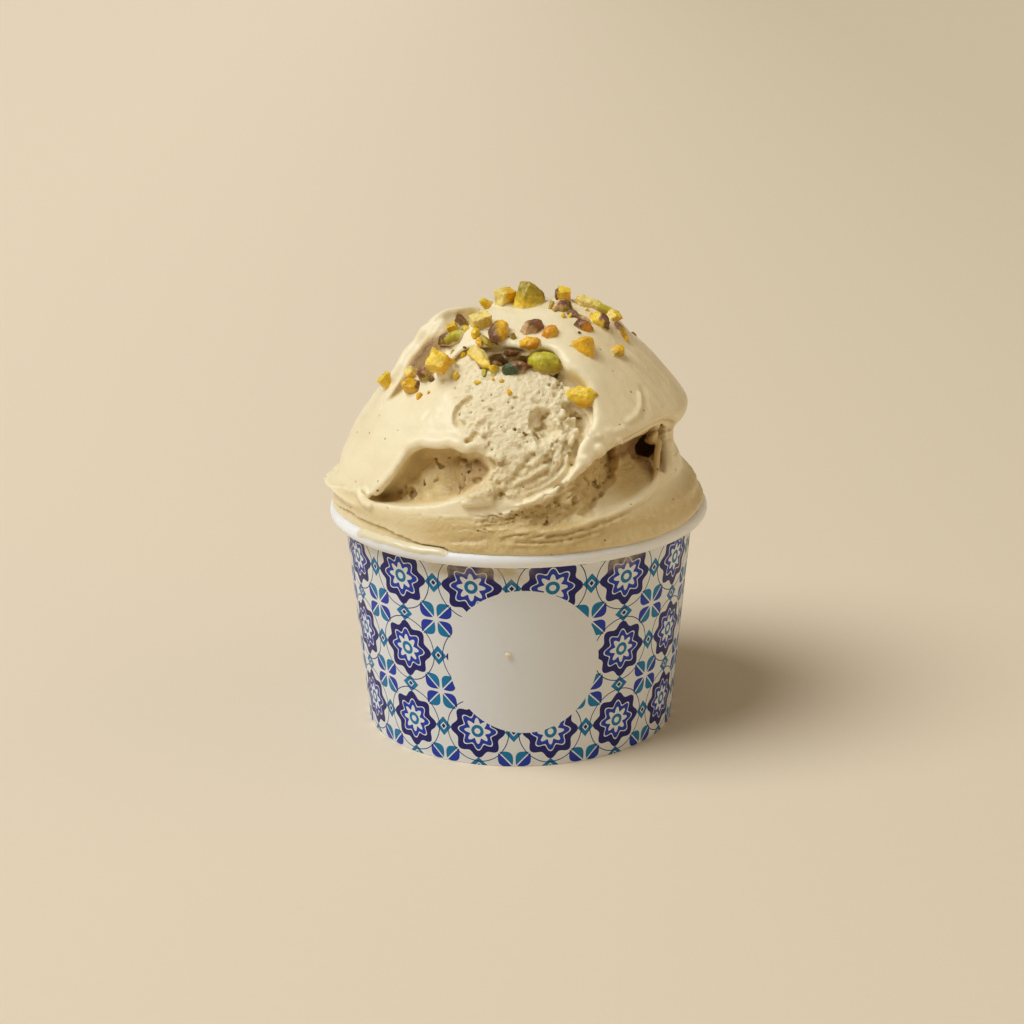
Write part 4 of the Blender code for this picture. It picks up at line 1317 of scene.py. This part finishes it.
def make_gelato(maps, nuts, material):
    """The cream as one closed mesh: the sculpted heap, and plain sides down to the bottom disc."""
    points, quads = sculpt_cream(maps, nuts)
    gelato = piece_from("gelato_heap", points, quads)
    select_only(gelato)
    bpy.ops.object.mode_set(mode="EDIT")
    bpy.ops.mesh.select_all(action="SELECT")
    bpy.ops.mesh.bisect(
        plane_co=(0.0, 0.0, CUT_HEIGHT * MM), plane_no=(0.0, 0.0, 1.0), clear_inner=True, use_fill=False
    )
    bpy.ops.mesh.select_all(action="DESELECT")
    bpy.ops.mesh.select_non_manifold(extend=False)
    foot = inner_wall_radius(DISC_HEIGHT + PAPER) - CREAM_GAP
    top = inner_wall_radius(CUT_HEIGHT) - CREAM_GAP
    depth = CUT_HEIGHT - (DISC_HEIGHT + PAPER + CREAM_GAP)
    for share in (0.5, 1.0):
        bpy.ops.mesh.extrude_region_move(TRANSFORM_OT_translate={"value": (0.0, 0.0, -depth / 2.0 * MM)})
        goal = top + (foot - top) * share
        last = top + (foot - top) * (share - 0.5)
        bpy.ops.transform.resize(value=(goal / last, goal / last, 1.0), center_override=(0.0, 0.0, 0.0))
    bpy.ops.mesh.fill()
    bpy.ops.mesh.select_all(action="SELECT")
    bpy.ops.mesh.normals_make_consistent(inside=False)
    bpy.ops.object.mode_set(mode="OBJECT")
    drop_islands(gelato)
    clay = Clay(*points_of(gelato).T, maps)
    torn = torn_share(clay)
    note_on_points(gelato, "torn", torn)
    # the deep note holds the cream's density and its painted shade
    note_on_points(gelato, "deep", density_and_painted_shade(clay, torn, pit_depth(gelato, 24)))
    thinner = gelato.modifiers.new("thinner", "DECIMATE")
    thinner.ratio = CREAM_TRIANGLES / sum(len(face.vertices) - 2 for face in gelato.data.polygons)
    bpy.ops.object.modifier_apply(modifier=thinner.name)
    hand_over(gelato, "gelato", [material])
    return gelato


def drop_islands(piece):
    """Keeps only the one largest connected part."""
    bench = bmesh.new()
    bench.from_mesh(piece.data)
    seen = set()
    parts = []
    for start in bench.verts:
        if start in seen:
            continue
        part = [start]
        seen.add(start)
        for vertex in part:
            for edge in vertex.link_edges:
                other = edge.other_vert(vertex)
                if other not in seen:
                    seen.add(other)
                    part.append(other)
        parts.append(part)
    parts.sort(key=len, reverse=True)
    spare = [vertex for part in parts[1:] for vertex in part]
    bmesh.ops.delete(bench, geom=spare, context="VERTS")
    bench.to_mesh(piece.data)
    bench.free()


# ---------------------------------------------------------------------------------------------------------
# Pistachios

# A nut is swollen a little before flats are broken off it, and its skin has the given mesh steps
NUT_SWELL = 1.12
NUT_STEP = 0.24
NUT_TINTS = {
    "pale": (0.92, 0.72, 0.22), "yellow": (0.90, 0.62, 0.045), "gold": (0.86, 0.49, 0.018),
    "lime": (0.60, 0.53, 0.040), "olive": (0.44, 0.32, 0.022), "deep": (0.055, 0.095, 0.030),
    "amber": (0.74, 0.31, 0.008), "tan": (0.68, 0.45, 0.22), "brown": (0.22, 0.105, 0.030),
    "skin": (0.19, 0.078, 0.030), "black": (0.014, 0.008, 0.006), "cream": (0.88, 0.77, 0.52),
}
# First and second tint, the way from the first to the second, and the side on which skin clings
NUT_LOOKS = {
    1: ("yellow", "gold", (0.6, 0, -0.8), None), 2: ("pale", "yellow", (0, 0, -1), None),
    3: ("gold", "olive", (0.8, 0, -0.5), (0.9, 0, 0.3)), 4: ("olive", "tan", (-0.7, 0, 0.6), (-0.8, 0, 0.3)),
    5: ("yellow", "gold", (1, 0, -0.3), None), 6: ("lime", "olive", (0.3, 0, -1), (-1, 0, 0)),
    7: ("brown", "olive", (0.6, 0, -0.8), (0.4, 0, 0.5)), 8: ("yellow", "gold", (-1, 0, 0), None),
    9: ("pale", "yellow", (0.3, 0, -1), None), 10: ("gold", "yellow", (-0.4, 0, 1), None),
    11: ("pale", "gold", (1, 0, 0.1), None), 12: ("skin", "gold", (1, 0, 0.3), (-0.4, 0, -0.2)),
    13: ("yellow", "pale", (0.5, 0, 0.5), None), 14: ("lime", "yellow", (0, 0, 1), None),
    15: ("deep", "tan", (1, 0, 0.3), (0.9, 0, 0.5)), 16: ("brown", "skin", (-1, 0, 0), (0.4, 0, 0)),
    17: ("lime", "olive", (0, 0, -1), None), 18: ("amber", "gold", (-0.6, 0, 0.5), None),
    19: ("amber", "gold", (1, 0, -0.4), None), 20: ("tan", "brown", (0.9, 0, 0.5), (1, 0, 0.5)),
    21: ("olive", "yellow", (-0.1, 0, -1), None), 22: ("yellow", "gold", (0.4, 0, -1), (-1, 0, -0.1)),
    23: ("tan", "olive", (0.2, 0, -1), (0.5, 0, 0.8)), 24: ("pale", "lime", (0.9, 0, -0.2), None),
    25: ("pale", "yellow", (1, 0, 0), None), 26: ("yellow", "olive", (0.6, 0, -0.4), (0.9, 0, 0.5)),
    27: ("amber", "brown", (-0.6, 0, 0.3), (-0.8, 0, 0.6)), 28: ("gold", "brown", (0, 0, 1), (-0.6, 0, 0.7)),
    29: ("gold", "olive", (-0.5, 0, -1), None), 30: ("olive", "gold", (0.2, 0, 1), None),
    31: ("yellow", "gold", (0.8, 0, -0.7), None), 32: ("brown", "tan", (1, 0, 0), (-0.5, 0, 0.7)),
}
NUT_GLOW = (1.0, 0.2, 0.1)
GUESSED_LOOK = ("yellow", "olive", (0.5, 0.5, -0.6), (0.7, 0.3, 0.4))


def middle_and_half(points):
    """Middle and half size of the box round some points."""
    low, high = points.min(axis=0), points.max(axis=0)
    return (low + high) / 2.0, (high - low) / 2.0


def nut_colours(number, points, clay_height):
    """The tint of each point: two tints that run together, mottling, clinging skin and smears of cream."""
    first, second, way, skin_way = NUT_LOOKS.get(number, GUESSED_LOOK)
    middle, half = middle_and_half(points)
    along = (points - middle) / half
    place = [axis + 31.0 * number for axis in points.T]
    share = along @ np.array(way) + 0.35 * cream_noise(place, 1.8, 61) + 0.15 * cream_noise(place, 0.6, 62)
    share = step_up(share, -0.30, 0.60)[:, None]
    tint = np.array(NUT_TINTS[first]) * (1 - share) + np.array(NUT_TINTS[second]) * share
    tint = tint * (1.0 + 0.14 * cream_noise(place, 0.7, 63) + 0.12 * cream_noise(place, 1.9, 64))[:, None]
    if skin_way:
        skin = along @ np.array(skin_way)
        skin = skin + 0.45 * cream_noise(place, 1.3, 65) + 0.2 * cream_noise(place, 0.5, 66)
        skin = step_up(skin, 0.34, 0.62)[:, None]
        bare = np.array(NUT_TINTS["skin"]) * (1.2 + 0.8 * cream_noise(place, 0.8, 67))[:, None]
        tint = tint * (1 - skin) + bare * skin
    smear = step_up(0.5 * cream_noise(place, 1.2, 68) - clay_height, -0.35, 0.15)[:, None]
    tint = tint * (1 - 0.8 * smear) + np.array(NUT_TINTS["cream"]) * 0.8 * smear
    return np.clip(tint, 0.0, 1.0)


def paint_points(piece, tint):
    """Stores one colour for each point, for the piece's material to read."""
    layer = piece.data.attributes.new("tint", "FLOAT_COLOR", "POINT")
    layer.data.foreach_set("color", np.c_[tint, np.ones(len(tint))].astype(np.float32).ravel())


def chip(piece, chance, middle, half):
    """Breaks small flats off a nut with plane cuts."""
    for _ in range(3):
        way = Vector([chance.normal() for _ in range(3)]).normalized()
        reach = sum(abs(way[axis]) * half[axis] for axis in range(3)) * chance.uniform(0.80, 0.94)
        select_only(piece)
        bpy.ops.object.mode_set(mode="EDIT")
        bpy.ops.mesh.select_all(action="SELECT")
        bpy.ops.mesh.bisect(
            plane_co=(Vector(middle) + way * reach) * MM, plane_no=way, clear_outer=True, use_fill=True
        )
        bpy.ops.object.mode_set(mode="OBJECT")


def make_nut(number, material, maps):
    """A chopped pistachio, chipped and roughened from the solid that holds its place."""
    node = f"pistachio_{number:02d}"
    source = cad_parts[node]
    nut = bpy.data.objects.new(f"chopped_{node}", source.data.copy())
    bpy.context.scene.collection.objects.link(nut)
    select_only(nut)
    bpy.ops.object.mode_set(mode="EDIT")
    bpy.ops.mesh.select_all(action="SELECT")
    bpy.ops.mesh.remove_doubles(threshold=1e-6)
    bpy.ops.object.mode_set(mode="OBJECT")
    points = points_of(nut)
    middle, half = middle_and_half(points)
    move_points(nut, middle + (points - middle) * NUT_SWELL)
    chip(nut, np.random.default_rng(100 + number), middle, half * NUT_SWELL)
    remesh = nut.modifiers.new("even", "REMESH")
    remesh.mode = "VOXEL"
    remesh.voxel_size = NUT_STEP * MM
    bpy.ops.object.modifier_apply(modifier=remesh.name)
    points = points_of(nut)
    place = [axis + 31.0 * number for axis in points.T]
    relief = -0.04
    for height, size, seed in ((0.20, 1.5, 51), (0.13, 0.75, 52), (0.05, 0.45, 53)):
        relief = relief + height * cream_noise(place, size, seed)
    points = points + normals_of(nut) * relief[:, None]
    move_points(nut, points)
    clay = Clay(*points.T, maps)
    paint_points(nut, nut_colours(number, points, clay.field - clay.read("sheet_rise")))
    hand_over(nut, node, [material], smooth_angle=38.0)


def nut_material():
    """Pistachio flesh and skin: the painted tint with finer veins, crystalline grain and a slight sheen."""
    material, tree, shader = new_material("pistachio")
    place = object_place(tree)
    tint = add_node(tree, "ShaderNodeAttribute", attribute_name="tint").outputs["Color"]
    veins = noise_of(tree, place, 900.0, 3.0, 0.65)
    darker = add_node(
        tree, "ShaderNodeHueSaturation", inputs={"Color": tint, "Saturation": 1.08, "Value": 0.74}
    ).outputs["Color"]
    colour = mix_colours(tree, ramp_between(tree, veins, 0.50, 0.68), tint, darker)
    tree.links.new(colour, shader.inputs["Base Color"])
    grain = noise_of(tree, place, 1700.0, 3.0, 0.6)
    tree.links.new(math_node(tree, "MULTIPLY_ADD", grain, 0.35, 0.16), shader.inputs["Roughness"])
    tree.links.new(bump_node(tree, grain, 0.00028), shader.inputs["Normal"])
    let_light_in(shader, 0.15, NUT_GLOW, 0.0012)
    return material


# Fine crumbs between the nuts: bearing, rise, tint and size
CRUMBS = (
    (-45, 57, "olive", 1.3), (-7, 63.5, "olive", 1.5), (-70, 77, "pale", 1.6), (-32, 62.5, "yellow", 2.4),
    (-22.5, 60.5, "olive", 2.4), (-27, 60, "gold", 1.8), (-33, 48, "yellow", 1.6),
    (-21.5, 47, "yellow", 1.1), (-15, 48.5, "yellow", 0.9), (-10.5, 48, "yellow", 1.0),
    (-6.5, 43.5, "gold", 1.3), (-44.5, 41.5, "gold", 0.8), (40, 71.5, "yellow", 1.3),
    (46, 70.5, "yellow", 1.2), (61, 61.5, "brown", 0.8), (-58.5, 53.5, "yellow", 1.3),
    (-39, 48, "gold", 1.0), (-49, 39.5, "gold", 1.5), (-17, 59, "brown", 2.2), (-37, 56.5, "yellow", 1.2),
    (-12, 57.0, "olive", 2.4), (-6, 57.0, "brown", 3.0), (-1, 56.0, "tan", 2.2), (3, 54.5, "brown", 2.0),
    (-15, 54.5, "brown", 1.8), (-9, 54.5, "skin", 1.6), (-3, 53.8, "olive", 1.3), (8, 54.5, "brown", 1.5),
    (-20, 51, "lime", 1.6), (-52, 52, "gold", 1.2), (-47, 46, "brown", 1.4), (-44, 65, "yellow", 1.6),
    (-54, 66, "olive", 1.2), (45, 78, "olive", 1.8), (70, 70, "pale", 1.2), (62, 67, "gold", 1.1),
    (38, 62.5, "skin", 0.7), (-35.5, 58, "skin", 0.7), (-30, 57.5, "black", 0.6), (-60, 62, "gold", 1.5),
)


def scatter_crumbs(gelato, material):
    """All the crumbs as one mesh, each seated on the cream."""
    surface = BVHTree.FromObject(gelato, bpy.context.evaluated_depsgraph_get())
    chance = np.random.default_rng(7)
    pieces = []
    tints = []
    for bearing, rise, tint, size in CRUMBS:
        way = way_towards(bearing, rise)
        outside = (Vector([float(part) for part in HEART]) + way * 60.0) * MM
        seat = surface.ray_cast(outside, -way)[0]
        bpy.ops.object.select_all(action="DESELECT")
        bpy.ops.mesh.primitive_ico_sphere_add(subdivisions=2, radius=0.62 * size * MM)
        crumb = bpy.context.active_object
        points = points_of(crumb)
        squash = chance.uniform((0.85, 0.55, 0.45), (1.25, 0.85, 0.75))
        # half of each point's place is moved to steps, which leaves flats and corners
        flats = np.round(points / (0.30 * size) + chance.uniform(-0.2, 0.2, points.shape)) * 0.30 * size
        points = flats * 0.5 + points * 0.5
        place = list((points + 40.0 * chance.random(3)).T)
        points *= 1.0 + 0.45 * cream_noise(place, 0.60 * size, 71)[:, None]
        points *= squash
        move_points(crumb, points)
        crumb.rotation_euler = chance.uniform(0.0, math.tau, 3)
        crumb.location = seat + way * 0.16 * size * MM
        tints.append(np.tile(np.array(NUT_TINTS[tint]) * chance.uniform(0.85, 1.1), (len(points), 1)))
        pieces.append(crumb)
    bpy.ops.object.select_all(action="DESELECT")
    for crumb in pieces:
        crumb.select_set(True)
    bpy.context.view_layer.objects.active = pieces[0]
    bpy.ops.object.join()
    crumbs = bpy.context.active_object
    crumbs.name = "pistachio_crumbs"
    bpy.ops.object.transform_apply(location=True, rotation=True, scale=True)
    paint_points(crumbs, np.concatenate(tints))
    hand_over(crumbs, None, [material], smooth_angle=24.0)


# ---------------------------------------------------------------------------------------------------------
# Melted cream on the rim, and a splash on the wall

FILM_BEARINGS = (-56.0, -21.0)
FILM_THICKNESS = 0.38
FILM_TOP_ANGLE = 150.0


def make_film(material):
    """Cream that ran out over the rim's roll at the left: a skin that thins to nothing at a ragged edge."""
    bpy.ops.object.select_all(action="DESELECT")
    bpy.ops.mesh.primitive_grid_add(x_subdivisions=90, y_subdivisions=26, size=2.0)
    film = bpy.context.active_object
    film.name = "melted_film"
    points = points_of(film) * MM
    along, around = (points[:, 0] + 1.0) / 2.0, (points[:, 1] + 1.0) / 2.0
    bearing = FILM_BEARINGS[0] + along * (FILM_BEARINGS[1] - FILM_BEARINGS[0])
    strip = [bearing * 0.75, 0.0 * bearing, 0.0 * bearing + 5.0]
    # how far down the roll it ran, as an angle round the roll's centre
    low = 14.0 - 8.0 * step_up(along, 0.3, 0.7)
    low = low + 14.0 * cream_noise(strip, 6.0, 81) + 9.0 * cream_noise(strip, 2.0, 82)
    turn = np.radians(low + (FILM_TOP_ANGLE - low) * around)
    edge = np.minimum(step_up(around, 0.0, 0.22), step_up(around, 1.0, 0.8))
    edge = np.minimum(edge, np.minimum(step_up(along, 0.0, 0.08), step_up(along, 1.0, 0.9)))
    waves = cream_noise([bearing, around * 8.0, 0.0 * bearing], 3.0, 83)
    thick = FILM_THICKNESS * edge * (1.0 + 0.35 * waves) - 0.06
    radius = ROLL_CENTRE[0] + (ROLL_RADIUS + thick) * np.cos(turn)
    height = ROLL_CENTRE[1] + (ROLL_RADIUS + thick) * np.sin(turn)
    side = np.radians(bearing)
    move_points(film, np.stack([radius * np.sin(side), -radius * np.cos(side), height], axis=-1))
    select_only(film)
    solid = film.modifiers.new("body", "SOLIDIFY")
    solid.thickness = 0.25 * MM
    solid.offset = -1.0
    bpy.ops.object.modifier_apply(modifier=solid.name)
    turn_faces_out(film)
    hand_over(film, None, [material])


SPLASH_HEIGHT = 27.6
SPLASH_BEARING = -4.0
SPLASH_SIZE = (0.75, 0.32, 0.55)


def make_splash(material):
    """A small splash dried on the label."""
    radius = inner_wall_radius(SPLASH_HEIGHT) + PAPER
    turn = math.radians(SPLASH_BEARING)
    bpy.ops.object.select_all(action="DESELECT")
    bpy.ops.mesh.primitive_uv_sphere_add(segments=24, ring_count=14, radius=1.0 * MM)
    splash = bpy.context.active_object
    splash.name = "cream_splash"
    points = points_of(splash)
    points *= 1.0 + 0.14 * cream_noise(list(points.T), 0.9, 91)[:, None]
    points *= SPLASH_SIZE
    move_points(splash, points)
    splash.location = Vector((radius * math.sin(turn), -radius * math.cos(turn), SPLASH_HEIGHT)) * MM
    splash.rotation_euler = (0.0, 0.0, turn)
    bpy.ops.object.transform_apply(location=True, rotation=True, scale=True)
    hand_over(splash, None, [material])


# ---------------------------------------------------------------------------------------------------------
# Table, light and camera

# Painted light: the table's colour paler on the left, where the window is, and darker on the right
TABLE_PAINTED_LIT = (0.825, 0.70, 0.535)
TABLE_PAINTED_SHADE = (0.615, 0.52, 0.375)
ROOM_COLOUR = (1.0, 0.80, 0.56)
ROOM_STRENGTH = 0.17
# One big soft window on the left, a pale ceiling, and a warm wall on the right: name, strength, softness in
# degrees, bearing, rise and colour
LIGHTS = (
    ("window", 2.75, 38.0, -70.0, 55.0, (0.92, 0.965, 1.0)),
    ("ceiling", 0.30, 110.0, 180.0, 80.0, (1.0, 0.93, 0.82)),
    ("far_wall", 0.80, 80.0, 84.0, 6.0, (1.0, 0.83, 0.58)),
)


def make_table():
    """The table, so wide that it is also all that is seen behind the cup, with painted light making it paler
    on the left.
    """
    bpy.ops.object.select_all(action="DESELECT")
    bpy.ops.mesh.primitive_plane_add(size=30.0, location=(0.0, 0.0, 0.0))
    table = bpy.context.active_object
    table.name = "table"
    material, tree, shader = new_material("warm_plaster")
    place = object_place(tree)
    grain = noise_of(tree, place, 300.0, 4.0)
    across = add_node(tree, "ShaderNodeSeparateXYZ", inputs={"Vector": place}).outputs["X"]
    # painted light: paler towards the window on the left, painted shade towards the right, with fine grain
    shade = math_node(tree, "MULTIPLY_ADD", grain, 0.06, ramp_between(tree, across, -0.30, 0.42))
    tree.links.new(mix_colours(tree, shade, TABLE_PAINTED_LIT, TABLE_PAINTED_SHADE), shader.inputs["Base Color"])
    shader.inputs["Roughness"].default_value = 0.85
    shader.inputs["Specular IOR Level"].default_value = 0.2
    table.data.materials.append(material)


def make_lights():
    """The lights, and the glow of the room round them."""
    world = bpy.data.worlds.new("room")
    bpy.context.scene.world = world
    world.use_nodes = True
    world.node_tree.nodes["Background"].inputs["Color"].default_value = (*ROOM_COLOUR, 1.0)
    world.node_tree.nodes["Background"].inputs["Strength"].default_value = ROOM_STRENGTH
    for name, strength, softness, bearing, rise, colour in LIGHTS:
        lamp = bpy.data.lights.new(name, "SUN")
        lamp.energy = strength
        lamp.angle = math.radians(softness)
        lamp.color = colour
        holder = bpy.data.objects.new(name, lamp)
        holder.rotation_euler = way_towards(bearing, rise).to_track_quat("Z", "Y").to_euler()
        bpy.context.scene.collection.objects.link(holder)


CAMERA_TARGET = (-0.00153, 0.0, 0.0482)
CAMERA_DISTANCE = 0.5028
CAMERA_RISE = 17.46
CAMERA_ROLL = -0.011
CAMERA_LENS = 76.22


def make_camera():
    """The camera at the front, looking a little down on the cup."""
    lens = bpy.data.cameras.new("camera")
    lens.lens = CAMERA_LENS
    lens.sensor_width = 36.0
    camera = bpy.data.objects.new("camera", lens)
    camera.location = Vector(CAMERA_TARGET) + CAMERA_DISTANCE * way_towards(0.0, CAMERA_RISE)
    camera.rotation_euler = (math.radians(90.0 - CAMERA_RISE), 0.0, 0.0)
    camera.rotation_euler.rotate_axis("Z", CAMERA_ROLL)
    bpy.context.scene.collection.objects.link(camera)
    bpy.context.scene.camera = camera


bpy.context.scene.view_settings.view_transform = "Standard"
make_camera()
flecks = flecks_group()
board = paper_material()
make_cup(board, printed_material(tile_group()))
make_cup_base(board)
nut_boxes = [
    tuple(np.array(corner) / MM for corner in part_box(name))
    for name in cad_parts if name.startswith("pistachio")
]
maps = heap_maps()
gelato = make_gelato(maps, nut_boxes, cream_material(flecks))
pistachio = nut_material()
for number in range(1, len(nut_boxes) + 1):
    make_nut(number, pistachio, maps)
scatter_crumbs(gelato, pistachio)
melted = melted_material()
make_film(melted)
make_splash(melted)
make_table()
make_lights()
